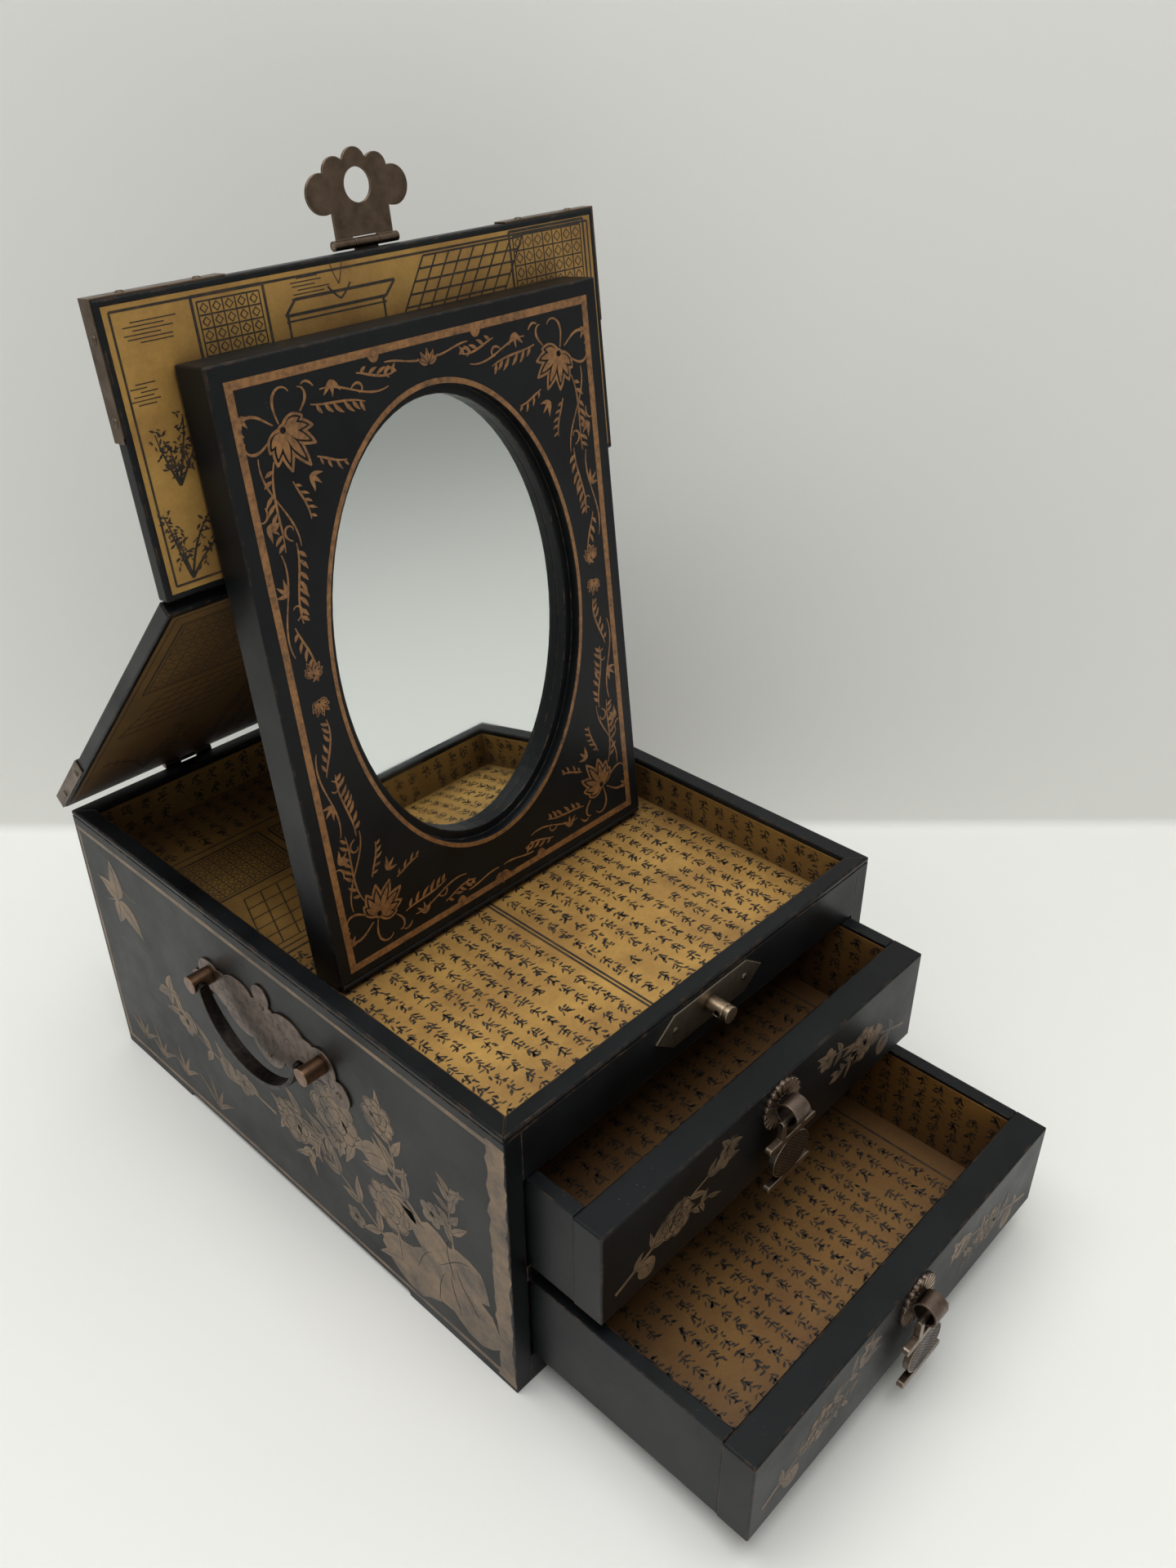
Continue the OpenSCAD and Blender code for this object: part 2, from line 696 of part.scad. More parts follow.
// Lobes of a corner mount as [along the end, along the side, radius], and its narrow ends
corner_lobes = corner_side_l * [[0.34, 0.63, 0.29], [0.68, 0.32, 0.29], [0.47, 0.47, 0.24]];
corner_foot = corner_side_l * 0.1;

// Cloud shape on a leaf's outer face, in the corner at the origin
module corner_cloud() {
  intersection() {
    square([corner_end_l, corner_side_l]);
    union() {
      for (lobe = corner_lobes) translate([lobe[0], lobe[1]]) circle(lobe[2]);
      square([corner_end_l, corner_foot]);
      square([corner_foot, corner_side_l]);
      square(corner_lobes[2][0]);
    }
  }
}

// Corner mount at the leaf's end y, on the side s = 1 or -1; e = -1 is the front end
module corner_mount(s, e, y) {
  side_z = leaf_z + ease;
  mirror([s < 0 ? 1 : 0, 0, 0]) translate([leaf_x, y, 0]) mirror([0, e > 0 ? 1 : 0, 0]) {
    translate([0, 0, leaf_top]) mirror([1, 0, 0]) linear_extrude(corner_t) corner_cloud();
    difference() {
      block([0, -corner_t, side_z], [corner_t, corner_side_l, leaf_top + corner_t]);
      for (z = [side_z, leaf_top + corner_t]) translate([-1, corner_side_l, z])
        rotate([45, 0, 0]) cube([corner_t + 2, 2.6, 2.6], center = true);
    }
    block([-corner_end_l, -corner_t, side_z], [corner_t, 0, leaf_top + corner_t]);
  }
}

corner_nail_side = [10, corner_side_l - 1.5 * nail_inset];
corner_nail_end = [10, corner_end_l - 2 * nail_inset];

// Nails of the corner mount, through its side strip and its end strip
module corner_nails(s, e, y) {
  mid_z = leaf_z + leaf_t / 2;
  mirror([s < 0 ? 1 : 0, 0, 0]) translate([leaf_x, y, 0]) mirror([0, e > 0 ? 1 : 0, 0]) {
    for (d = corner_nail_side) translate([corner_t, d, mid_z]) rotate([0, 90, 0]) nail_head();
    for (d = corner_nail_end) translate([-d, -corner_t, mid_z]) rotate([90, 0, 0]) nail_head();
  }
}

module front_leaf() {
  color(lacquer) on_mirror_pair() leaf(front_leaf_y);
}

module front_leaf_lining() {
  color(paper) on_mirror_pair() leaf_paper(front_leaf_y);
}

module rear_leaf() {
  color(lacquer) on_rear_leaf() leaf(rear_leaf_y);
}

module rear_leaf_lining() {
  color(paper) on_rear_leaf() leaf_paper(rear_leaf_y);
}

module front_corner_mounts() {
  color(bronze) on_mirror_pair() for (s = [-1, 1]) corner_mount(s, -1, lid_front_y);
}

module rear_corner_mounts() {
  color(bronze) on_rear_leaf() for (s = [-1, 1]) corner_mount(s, 1, back_y);
}

// Two nails in each hinge plate that lies on a leaf's outer face
module plate_nails(xs, y) {
  for (x = xs, m = [-1, 1]) translate([x + m * hinge_w * 0.3, y, leaf_top + sheet_t]) nail_head();
}

module front_leaf_nails() {
  color(bronze) on_mirror_pair() {
    for (s = [-1, 1]) corner_nails(s, -1, lid_front_y);
    plate_nails(fold_hinge_x, fold_shut[0] - hinge_plate_l + nail_inset);
    plate_nails([0], lid_front_y + hinge_plate_l - nail_inset);
  }
}

module rear_leaf_nails() {
  color(bronze) on_rear_leaf() {
    for (s = [-1, 1]) corner_nails(s, 1, back_y);
    plate_nails(fold_hinge_x, fold_shut[0] + hinge_plate_l - nail_inset);
  }
}

// ---------------------------------------------------------------- hasp

hasp_mid_w = hasp_w * 0.36;

module hasp_leaf() {
  y0 = lid_front_y + 0.1;
  color(bronze) on_mirror_pair() difference() {
    union() {
      block([-hasp_w / 2, y0, leaf_top],
        [hasp_w / 2, lid_front_y + hinge_plate_l, leaf_top + sheet_t]);
      block([-hasp_mid_w / 2, hasp_axis[0], leaf_top], [hasp_mid_w / 2, y0 + eps, leaf_top + sheet_t]);
      rod_x(hasp_axis, hasp_knuckle_r, -hasp_mid_w / 2, hasp_mid_w / 2);
    }
    rod_x(hasp_axis, hasp_pin_r + pin_gap, -hasp_w, hasp_w);
  }
}

module hasp_pin() {
  color(brass) on_mirror_pair() rod_x(hasp_axis, hasp_pin_r, -hasp_w / 2, hasp_w / 2);
}

// Lobes of the hasp as [across, away from the hinge, radius], and the length of its neck
hasp_lobes = hasp_w * [[0.54, 0.59, 0.236], [0.31, 0.81, 0.176], [0, 0.89, 0.176], [0, 0.61, 0.38]];
hasp_neck_l = hasp_w * 0.5;

// Five-lobed outline with the eye, drawn away from the hinge along +Y
module hasp_outline() {
  difference() {
    union() {
      translate([-hasp_w * 0.44, 0]) square([hasp_w * 0.88, hasp_neck_l]);
      translate([-hasp_w / 2, 0]) square([hasp_w, hasp_knuckle_r]);
      for (s = [-1, 1], lobe = hasp_lobes) translate([s * lobe[0], lobe[1]]) circle(lobe[2]);
    }
    translate([0, hasp_eye_d]) circle(hasp_eye_r);
    translate([-hasp_mid_w / 2 - knuckle_gap, -1])
      square([hasp_mid_w + 2 * knuckle_gap, 1 + hasp_knuckle_r + knuckle_gap]);
  }
}

module hasp_plate() {
  color(bronze) on_mirror_pair() difference() {
    union() {
      translate([0, hasp_axis[0], hasp_axis[1] - sheet_t / 2]) mirror([0, 1, 0])
        linear_extrude(sheet_t) hasp_outline();
      for (s = [-1, 1]) {
        x0 = s > 0 ? hasp_mid_w / 2 + knuckle_gap : -hasp_w / 2;
        rod_x(hasp_axis, hasp_knuckle_r, x0, x0 + hasp_w / 2 - hasp_mid_w / 2 - knuckle_gap);
      }
    }
    rod_x(hasp_axis, hasp_pin_r + pin_gap, -hasp_w, hasp_w);
  }
}

// ---------------------------------------------------------------- mirror

oval_y = mirror_foot_y - oval_up;
glass_z = mirror_z + 2 * step_d;

// Oval through the frame, between two levels
module oval_hole(rx, ry, z0, z1) {
  translate([0, oval_y, z0]) linear_extrude(z1 - z0)
    polygon([for (a = [0 : 5 : 359]) [rx * cos(a), ry * sin(a)]]);
}

module glass_block(z0, z1, gap) {
  x = oval_rx + glass_lap - gap;
  y = oval_ry + glass_lap - gap;
  block([-x, oval_y - y, z0], [x, oval_y + y, z1]);
}

module mirror_frame() {
  low = [-mirror_w / 2, mirror_top_y, mirror_z];
  high = [mirror_w / 2, mirror_foot_y, mirror_z + mirror_t];
  color(lacquer) on_mirror_pair() difference() {
    eased_block(low, high);
    oval_hole(oval_rx, oval_ry, mirror_z - 1, mirror_z + step_d);
    oval_hole(oval_rx - step_w, oval_ry - step_w, mirror_z, glass_z + 1);
    glass_block(glass_z, high[2] + 1, 0);
    rod_x(foot_shut, bead_r + pin_gap, -mirror_w, mirror_w);
  }
}

module mirror_glass() {
  color(silvering) on_mirror_pair() glass_block(glass_z, glass_z + glass_t, 0.1);
}

module mirror_backboard() {
  color(lacquer) on_mirror_pair() glass_block(glass_z + glass_t, mirror_z + mirror_t, 0.1);
}

// Two flat battens that hold the frame's upper end to the front leaf
module mirror_spacers() {
  color(lacquer) on_mirror_pair() for (s = [-1, 1])
    translate([s * mirror_w / 4, 0, 0])
      block([-20, mirror_top_y + 4, mirror_z + mirror_t],
        [20, front_leaf_y[1] - leaf_border - 4, leaf_z]);
}

// Round bead let into the frame's foot, on which the foot runs along the tray
module mirror_foot_bead() {
  color(lacquer) on_mirror_pair()
    rod_x(foot_shut, bead_r, -mirror_w / 2 + 1, mirror_w / 2 - 1);
}

// ---------------------------------------------------------------- nodes

side_wall(left_x);  // left_side
side_wall(inner_x);  // right_side
back_panel();
front_rail();
front_apron();
base_board();
drawer_shelf();
tray_floor();
tray_rim();
tray_lining();
staple_plate();
staple_post();
case_nails();
handle_plate(-1);  // left_handle_plate
handle_plate(1);  // right_handle_plate
handle_posts(-1);  // left_handle_posts
handle_posts(1);  // right_handle_posts
bail(-1);  // left_bail
bail(1);  // right_bail
rear_hinge_case();

drawer_front(upper_z, upper_drawer_h, upper_out);  // upper_drawer_front
drawer_side(-1, upper_z, upper_drawer_h, upper_out);  // upper_drawer_left
drawer_side(1, upper_z, upper_drawer_h, upper_out);  // upper_drawer_right
drawer_back(upper_z, upper_drawer_h, upper_out);  // upper_drawer_back
drawer_bottom(upper_z, upper_out);  // upper_drawer_bottom
drawer_lining(upper_z, upper_drawer_h, upper_out);  // upper_drawer_lining
pull_plate(upper_top, upper_out);  // upper_pull_plate
pull_drop(upper_top, upper_out);  // upper_pull_drop

drawer_front(lower_z, lower_drawer_h, lower_out);  // lower_drawer_front
drawer_side(-1, lower_z, lower_drawer_h, lower_out);  // lower_drawer_left
drawer_side(1, lower_z, lower_drawer_h, lower_out);  // lower_drawer_right
drawer_back(lower_z, lower_drawer_h, lower_out);  // lower_drawer_back
drawer_bottom(lower_z, lower_out);  // lower_drawer_bottom
drawer_lining(lower_z, lower_drawer_h, lower_out);  // lower_drawer_lining
pull_plate(lower_top, lower_out);  // lower_pull_plate
pull_drop(lower_top, lower_out);  // lower_pull_drop

front_leaf();
front_leaf_lining();
front_corner_mounts();
front_leaf_nails();
fold_hinge_front();
hasp_leaf();
hasp_pin();
hasp_plate();
mirror_spacers();
mirror_frame();
mirror_glass();
mirror_backboard();
mirror_foot_bead();
rear_leaf();
rear_leaf_lining();
rear_corner_mounts();
rear_leaf_nails();
fold_hinge_rear();
fold_hinge_pins();
rear_hinge_leaf();
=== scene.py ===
import json
import math
import random

import bmesh
import bpy
from mathutils import Matrix, Vector


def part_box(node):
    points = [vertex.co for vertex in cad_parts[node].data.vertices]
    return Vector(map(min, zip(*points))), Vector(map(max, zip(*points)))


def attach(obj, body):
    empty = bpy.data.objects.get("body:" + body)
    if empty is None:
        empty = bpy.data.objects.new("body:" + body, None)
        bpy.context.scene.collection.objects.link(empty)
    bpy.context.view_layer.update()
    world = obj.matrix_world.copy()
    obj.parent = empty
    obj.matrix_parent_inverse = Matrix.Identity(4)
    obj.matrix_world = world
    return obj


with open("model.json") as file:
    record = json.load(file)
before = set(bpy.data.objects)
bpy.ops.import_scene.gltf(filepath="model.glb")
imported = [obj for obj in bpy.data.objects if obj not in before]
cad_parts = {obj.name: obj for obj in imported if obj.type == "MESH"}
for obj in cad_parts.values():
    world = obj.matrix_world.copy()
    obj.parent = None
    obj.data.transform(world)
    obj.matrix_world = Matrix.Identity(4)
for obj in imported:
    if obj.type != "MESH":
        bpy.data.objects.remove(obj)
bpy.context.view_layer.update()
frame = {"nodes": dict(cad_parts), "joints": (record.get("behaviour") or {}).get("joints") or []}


# ---- Camera ----
# Stands at the box's front left corner and looks down into the open tray.
# The lens is a phone's wide one, so the near drawer looks large.
def metres(x, y, z):
    return Vector((x, y, z)) / 1000


def link_piece(name, data):
    piece = bpy.data.objects.new(name, data)
    bpy.context.scene.collection.objects.link(piece)
    return piece


camera = link_piece("camera", bpy.data.cameras.new("camera"))
eye = metres(-267.58, -201.12, 414.82)
to_the_right = Vector((0.68604, -0.72755, -0.00376))
ahead = Vector((0.61020, 0.57819, -0.54162))
camera.matrix_world = Matrix.Translation(eye) @ Matrix(
    (to_the_right, to_the_right.cross(ahead), -ahead)).transposed().to_4x4()
camera.data.lens = 29.99   # mm, on film 36 mm wide
camera.data.sensor_width = 36
camera.data.clip_start = 0.01
bpy.context.scene.camera = camera
bpy.context.scene.view_settings.view_transform = "Standard"


# ---- Floor, wall and light ----
# A white board lies under the box and a second one stands behind it, with a soft bend between.
# A wide lamp hangs overhead and the pale room lights the rest.
def tint(sheet_colour):
    """The linear colour of an sRGB hex value."""
    parts = [int(sheet_colour[i:i + 2], 16) / 255 for i in (1, 3, 5)]
    return [c / 12.92 if c < 0.04045 else ((c + 0.055) / 1.055) ** 2.4 for c in parts] + [1.0]


def wire(tree, node, sockets):
    """Gives inputs a value, an output, or whatever another node puts out first."""
    for key, value in dict(sockets).items():
        if isinstance(value, bpy.types.Node):
            value = next(out for out in value.outputs if out.enabled)
        if isinstance(value, bpy.types.NodeSocket):
            tree.links.new(value, node.inputs[key])
        else:
            node.inputs[key].default_value = value


def add(tree, kind, sockets=(), stops=(), **settings):
    """Adds a node; a shader node's kind is written without its prefix. Settings are its own
    properties, stops the places and hex colours of a colour ramp."""
    made = tree.nodes.new(kind if "Node" in kind else "ShaderNode" + kind)
    for key, value in settings.items():
        setattr(made, key, value)
    for k, (share, shade) in enumerate(stops):
        stop = made.color_ramp.elements[k] if k < 2 else made.color_ramp.elements.new(share)
        stop.position, stop.color = share, tint(shade)
    wire(tree, made, sockets)
    return made


def finish(name):
    """A new material, its node tree, its shader, and the place of each point on its piece."""
    made = bpy.data.materials.new(name)
    made.use_nodes = True
    tree = made.node_tree
    return made, tree, tree.nodes["Principled BSDF"], add(tree, "TexCoord").outputs["Object"]


level_ahead = Vector((ahead.x, ahead.y, 0)).normalized()
sideways = Vector((level_ahead.y, -level_ahead.x, 0))
# In metres: the board's ends, the wall's foot and top, the radius of the bend, and the gap
# that keeps the board off the base.
near_end, half_width, wall_foot, wall_top, bend, gap = -5.0, 4.5, 0.6, 1.5, 0.005, 0.0002
rail = [(near_end, 0.0)] + [
    (wall_foot - bend + bend * math.sin(a), bend - bend * math.cos(a))
    for a in [math.radians(9 * k) for k in range(11)]] + [(wall_foot, wall_top)]
n = len(rail)
cove = bpy.data.meshes.new("white_board")
cove.from_pydata([Vector((eye.x, eye.y, z - gap)) + level_ahead * d + sideways * along
                  for along in (-half_width, half_width) for d, z in rail], [],
                 [(k, k + n, k + n + 1, k + 1) for k in range(n - 1)])
for face in cove.polygons:
    face.use_smooth = True
board = link_piece("white_board", cove)
# Rolled plastic sheet: an even off-white without any sheen.
white_plastic, tree, shader, place = finish("matt_white_plastic_sheet")
wire(tree, shader, {"Base Color": tint("#f4f4f0"), "Roughness": 0.8})
# Seen from behind, the wall is clear, so that it hides nothing.
behind_wall = add(tree, "NewGeometry").outputs["Backfacing"]
clear = add(tree, "BsdfTransparent")
shown = add(tree, "MixShader", {0: behind_wall, 1: shader, 2: clear})
wire(tree, tree.nodes["Material Output"], {"Surface": shown})
cove.materials.append(white_plastic)

# The room lights the box more from behind than from the front, but looks evenly pale
# wherever it is seen or mirrored.
room = bpy.data.worlds.new("pale_room")
bpy.context.scene.world = room
room.use_nodes = True
tree = room.node_tree
way = add(tree, "TexCoord").outputs["Generated"]
depth = add(tree, "SeparateXYZ", {0: way}).outputs["Y"]
given = add(tree, "MapRange", {"Value": depth, "From Min": -0.7, "From Max": 0.5,
                               "To Min": 0.22, "To Max": 0.72})
ray = add(tree, "LightPath").outputs
seen = ray["Is Camera Ray"]
for kind in ("Is Glossy Ray", "Is Transmission Ray"):
    seen = add(tree, "Math", {0: seen, 1: ray[kind]}, operation="MAXIMUM")
brightness = add(tree, "Mix", {"Factor": seen, "A": given, "B": 0.68})
wire(tree, tree.nodes["Background"], {"Color": tint("#e8e8e6"), "Strength": brightness})

lamp = link_piece("overhead_lamp", bpy.data.lights.new("overhead_lamp", "AREA"))
lamp.data.shape = "RECTANGLE"
lamp.data.size, lamp.data.size_y, lamp.data.energy = 1.6, 1.2, 19   # metres, metres, watts
lamp.location = (-0.2, 0.05, 1.5)
lamp.rotation_euler = (Vector((0, 0.05, 0.1)) - lamp.location).to_track_quat("-Z", "Y").to_euler()


# ---- Black lacquered wood ----
# Every wooden board: thin boards glued and pinned, brushed with satin black lacquer.
# The lacquer is rubbed brown along the edges, hazed in places and flecked with dust.

# Coats brushed on and rubbed down by hand give a deep, cloudy black with a soft sheen.
# In mm: a cloud of haze, a spot of the rub, and the spacing of the dust flecks.
HAZE, RUB, FLECKS = 38.46, 5.263, 2.381
black_lacquer, tree, shader, place = finish("rubbed_black_lacquer")
haze = add(tree, "TexNoise", {"Vector": place, "Scale": 1000 / HAZE, "Detail": 6,
                              "Roughness": 0.62})
ground = add(tree, "ValToRGB", {"Fac": haze}, stops=((0.32, "#08090b"), (0.72, "#141719")))
true_normal = add(tree, "NewGeometry").outputs["Normal"]
soft_edge = add(tree, "Bevel", {"Radius": 0.0009}, samples=6)
edge_turn = add(tree, "VectorMath", {0: true_normal, 1: soft_edge}, operation="DOT_PRODUCT")
rub_grain = add(tree, "TexNoise", {"Vector": place, "Scale": 1000 / RUB, "Detail": 5,
                                   "Roughness": 0.7})
rub_edge = add(tree, "MapRange", {"Value": edge_turn, "From Min": 0.995, "From Max": 0.88})
rub_patch = add(tree, "MapRange", {"Value": rub_grain, "From Min": 0.5, "From Max": 0.66})
rubbed = add(tree, "Math", {0: rub_edge, 1: rub_patch}, operation="MULTIPLY")
worn = add(tree, "Mix", {"Factor": rubbed, "A": ground, "B": tint("#6b5039")}, data_type="RGBA")
fleck_cells = add(tree, "TexVoronoi", {"Vector": place, "Scale": 1000 / FLECKS})
fleck_size = add(tree, "MapRange", {"Value": fleck_cells, "From Min": 0.09, "From Max": 0.05})
fleck_share = add(tree, "MapRange",
                  {"Value": haze, "From Min": 0.56, "From Max": 0.66, "To Max": 0.35})
fleck = add(tree, "Math", {0: fleck_size, 1: fleck_share}, operation="MULTIPLY")
dusty = add(tree, "Mix", {"Factor": fleck, "A": worn, "B": tint("#8f9496")}, data_type="RGBA")
gloss = add(tree, "MapRange",
            {"Value": haze, "From Min": 0.3, "From Max": 0.7, "To Min": 0.3, "To Max": 0.5})
grain = add(tree, "Bump", {"Height": rub_grain, "Strength": 0.25,
                           "Distance": 0.0002, "Normal": soft_edge})
wire(tree, shader, {"Base Color": dusty, "Roughness": gloss, "Specular IOR Level": 0.2,
                    "Normal": grain})


def dress(material, *names):
    """Gives CAD nodes their real material."""
    for name in names:
        for slot in frame["nodes"][name].material_slots:
            slot.material = material


dress(black_lacquer, "left_side", "right_side", "back_panel", "front_rail", "front_apron",
      "base_board", "drawer_shelf", "tray_floor", "tray_rim", "front_leaf", "rear_leaf",
      "mirror_frame", "mirror_backboard", "mirror_spacers", "mirror_foot_bead",
      *[f"{d}_drawer_{p}" for d in ("upper", "lower")
        for p in ("front", "left", "right", "back", "bottom")])


# ---- Lining paper ----
# The tray, the drawers and the lid leaves are lined with tea-coloured printed paper,
# pasted down and varnished; it has gone mottled with age, and painted shade browns it
# where other parts come near.

# Varnish gives the soft paper a low warm sheen. In mm: a stain, and the fibres, which are
# really 0.03 mm thick and are drawn this coarse to show at all.
STAIN, FIBRE = 29.41, 1.1111


def aged_and_shaded_paper(name, dark, light):
    """Varnished paper browned by painted shade in its corners; its fibres show as fine grain."""
    material, tree, shader, place = finish(name)
    mottle = add(tree, "TexNoise", {"Vector": place, "Scale": 1000 / STAIN,
                                    "Detail": 8, "Roughness": 0.68})
    aged = add(tree, "ValToRGB", {"Fac": mottle}, stops=((0.3, dark), (0.7, light)))
    fibre = add(tree, "TexNoise", {"Vector": place, "Scale": 1000 / FIBRE,
                                   "Detail": 3, "Roughness": 0.6})
    fibre_light = add(tree, "MapRange", {"Value": fibre, "To Min": 0.86, "To Max": 1.14})
    # Painted shade: where other parts come near, ambient occlusion mixes the paper towards dark
    # brown.
    paper_occlusion = add(tree, "AmbientOcclusion", {"Distance": 0.1}, samples=8).outputs["AO"]
    paper_unshaded_share = add(tree, "MapRange",
                   {"Value": paper_occlusion, "From Min": 0.27, "From Max": 0.72, "To Min": 0.1})
    paper_with_painted_shade = add(tree, "Mix", {"Factor": paper_unshaded_share, "A": tint("#3a2410"), "B": aged},
                 data_type="RGBA")
    colour = add(tree, "VectorMath", {0: paper_with_painted_shade, "Scale": fibre_light}, operation="SCALE")
    bump = add(tree, "Bump", {"Height": fibre, "Strength": 0.3, "Distance": 0.0001})
    wire(tree, shader, {"Base Color": colour, "Roughness": 0.55, "Normal": bump})
    return material


# Tan in the open tray and on the front leaf. Painted shade: the drawers get a browner,
# somewhat darker copy of the paper, and the underside of the rear leaf a much darker one.
dress(aged_and_shaded_paper("varnished_tea_paper", "#88622b", "#bb9248"), "tray_lining", "front_leaf_lining")
dress(aged_and_shaded_paper("shade_browned_tea_paper", "#8a5c22", "#b4843a"),
      "upper_drawer_lining", "lower_drawer_lining")
dress(aged_and_shaded_paper("shade_darkened_tea_paper", "#523a19", "#745526"), "rear_leaf_lining")


# ---- Bronze mounts ----
# Corner mounts, hinges, handle plates, hasp and staple plate: sheet brass darkened to antique
# bronze in a bath and wiped back, so it is lighter on the edges, which also carry a painted
# highlight; painted shade darkens it in the hollows and where parts meet.
def metal(name, hollow, face, edge, smooth, rough, cloud, dent):
    """A darkened metal with cloudy patches, paler edges partly wiped and partly a painted
    highlight, and painted shade in its recesses; cloud is the patches' width and dent their depth
    in mm.
    """
    material, tree, shader, place = finish(name)
    clouds = add(tree, "TexNoise", {"Vector": place, "Scale": 1000 / cloud, "Detail": 7,
                                    "Roughness": 0.6})
    cloudy = add(tree, "MapRange", {"Value": clouds, "From Min": 0.34, "From Max": 0.66})
    plain = add(tree, "Mix", {"Factor": cloudy, "A": tint(hollow), "B": tint(face)},
                data_type="RGBA")
    normal = add(tree, "NewGeometry").outputs["Normal"]
    # Paler on the edges: partly patina wiped back, partly a painted highlight.
    rounded = add(tree, "Bevel", {"Radius": 0.0005}, samples=4)
    turn = add(tree, "VectorMath", {0: normal, 1: rounded}, operation="DOT_PRODUCT")
    edge_wear_and_highlight = add(tree, "MapRange",
                {"Value": turn, "From Min": 0.995, "From Max": 0.8, "To Max": 0.8})
    worn_and_highlit_colour = add(tree, "Mix", {"Factor": edge_wear_and_highlight, "A": plain, "B": tint(edge)}, data_type="RGBA")
    # Painted shade: ambient occlusion within 2.5 mm darkens the colour in hollows, flutes and
    # where parts meet.
    metal_occlusion = add(tree, "AmbientOcclusion", {"Distance": 0.0025}, samples=6).outputs["AO"]
    painted_recess_shade = add(tree, "MapRange", {"Value": metal_occlusion, "From Min": 0.35, "From Max": 0.9,
                                  "To Min": 0.32})
    colour = add(tree, "VectorMath", {0: worn_and_highlit_colour, "Scale": painted_recess_shade}, operation="SCALE")
    sheen = add(tree, "MapRange", {"Value": clouds, "From Min": 0.3, "From Max": 0.7,
                                   "To Min": rough, "To Max": smooth})
    bump = add(tree, "Bump", {"Height": clouds, "Strength": 0.3,
                              "Distance": dent / 1000, "Normal": rounded})
    wire(tree, shader, {"Metallic": 1, "Base Color": colour, "Roughness": sheen, "Normal": bump})
    return material


# Bath-darkened sheet: painted shade in the hollows, and paler edges, wiped and with a painted
# highlight.
dress(metal("antique_bronze_sheet", "#4f4236", "#6b5b4d", "#94816d", 0.32, 0.46, 6.667, 0.15),
      "rear_hinge_case", "rear_hinge_leaf", "fold_hinge_front", "fold_hinge_rear",
      "front_corner_mounts", "rear_corner_mounts", "hasp_leaf", "hasp_plate")
# The same sheet wiped back further, so that it looks paler and greyer.
dress(metal("wiped_bronze_sheet", "#574a42", "#75665c", "#a08f80", 0.34, 0.5, 4.167, 0.2),
      "left_handle_plate", "right_handle_plate", "upper_pull_plate", "lower_pull_plate")
# Bare sheet brass that has dulled to a grey yellow.
dress(metal("greyed_brass_sheet", "#71675a", "#94897a", "#b5a996", 0.3, 0.42, 5.556, 0.1),
      "staple_plate")
# Driven nail heads: dark, with only their tops paler, worn bright and with a painted highlight.
dress(metal("dark_brass_nails", "#3d342c", "#6a5c4e", "#9a8873", 0.3, 0.45, 2.0, 0.1),
      "case_nails", "front_leaf_nails", "rear_leaf_nails")
# Oil-blackened steel: nearly black, with grey edges.
dress(metal("blackened_steel_strip", "#1d1b1a", "#35302c", "#5a524a", 0.35, 0.5, 3.125, 0.2),
      "left_bail", "right_bail")


# ---- Brass fittings ----
# Staple post, pins and handle posts are turned brass and the drawer drops are cast; they are
# riveted or pinned in place.

# Turned brass, smooth, and yellowest on its edges, where hands polish it and a highlight is
# painted.
dress(metal("dulled_turned_brass", "#7b6a57", "#a3917a", "#c9b79c", 0.26, 0.4, 3.846, 0.08),
      "staple_post", "hasp_pin", "fold_hinge_pins")
# Sand-cast brass: a little rougher and greyer.
dress(metal("cast_brass_drops", "#6a5d4f", "#96877a", "#c0b19c", 0.28, 0.42, 3.333, 0.2),
      "upper_pull_drop", "lower_pull_drop")
# Brass with more copper in it, which gives the handle posts their red.
dress(metal("copper_red_turned_brass", "#5c4637", "#84664f", "#b08f74", 0.26, 0.42, 3.846, 0.08),
      "left_handle_posts", "right_handle_posts")


# ---- Mirror glass ----
# A flat plate held behind the oval by the frame's backboard. It is
# float glass silvered at the back, and it has stood in dust.

# It mirrors clearly, a little green, through a film of dust that gathers in smears.
SMEAR = 16.67   # mm
silvered_glass, tree, shader, place = finish("silvered_float_glass")
film = add(tree, "TexNoise", {"Vector": place, "Scale": 1000 / SMEAR, "Detail": 6})
smear = add(tree, "MapRange",
            {"Value": film, "From Min": 0.4, "From Max": 0.8, "To Min": 0.015, "To Max": 0.06})
wire(tree, shader, {"Metallic": 1, "Base Color": tint("#dfe4e2"), "Roughness": smear})
dress(silvered_glass, "mirror_glass")


# ---- Gold painting on the mirror frame ----
# A line along the frame's edge, a ring round the oval, a lotus in each corner and scrolls
# between them, brushed by hand in bronze powder and varnish that has gone dull and thin.

# Bronze powder in varnish: a soft metal glint, brown where the powder has rubbed off.
# In mm: a worn patch and a grain of the rub; real powder is far finer than it can be drawn.
WORN, GRAIN = 7.692, 1.613
worn_gold, tree, shader, place = finish("worn_bronze_powder_paint")
powder = add(tree, "TexNoise", {"Vector": place, "Scale": 1000 / WORN, "Detail": 7,
                                "Roughness": 0.7})
rubbing = add(tree, "TexNoise", {"Vector": place, "Scale": 1000 / GRAIN, "Detail": 4,
                                 "Roughness": 0.6})
thin = add(tree, "Math", {0: powder, 1: rubbing}, operation="MULTIPLY")
gilding = add(tree, "ValToRGB", {"Fac": thin},
              stops=((0.1, "#3a2e23"), (0.33, "#9c6f42"), (0.19, "#7a5635")))
wire(tree, shader, {"Metallic": 0.25, "Roughness": 0.42, "Base Color": gilding})
GOLD, DARK = 0, 1   # the places of the two paints among a piece's materials


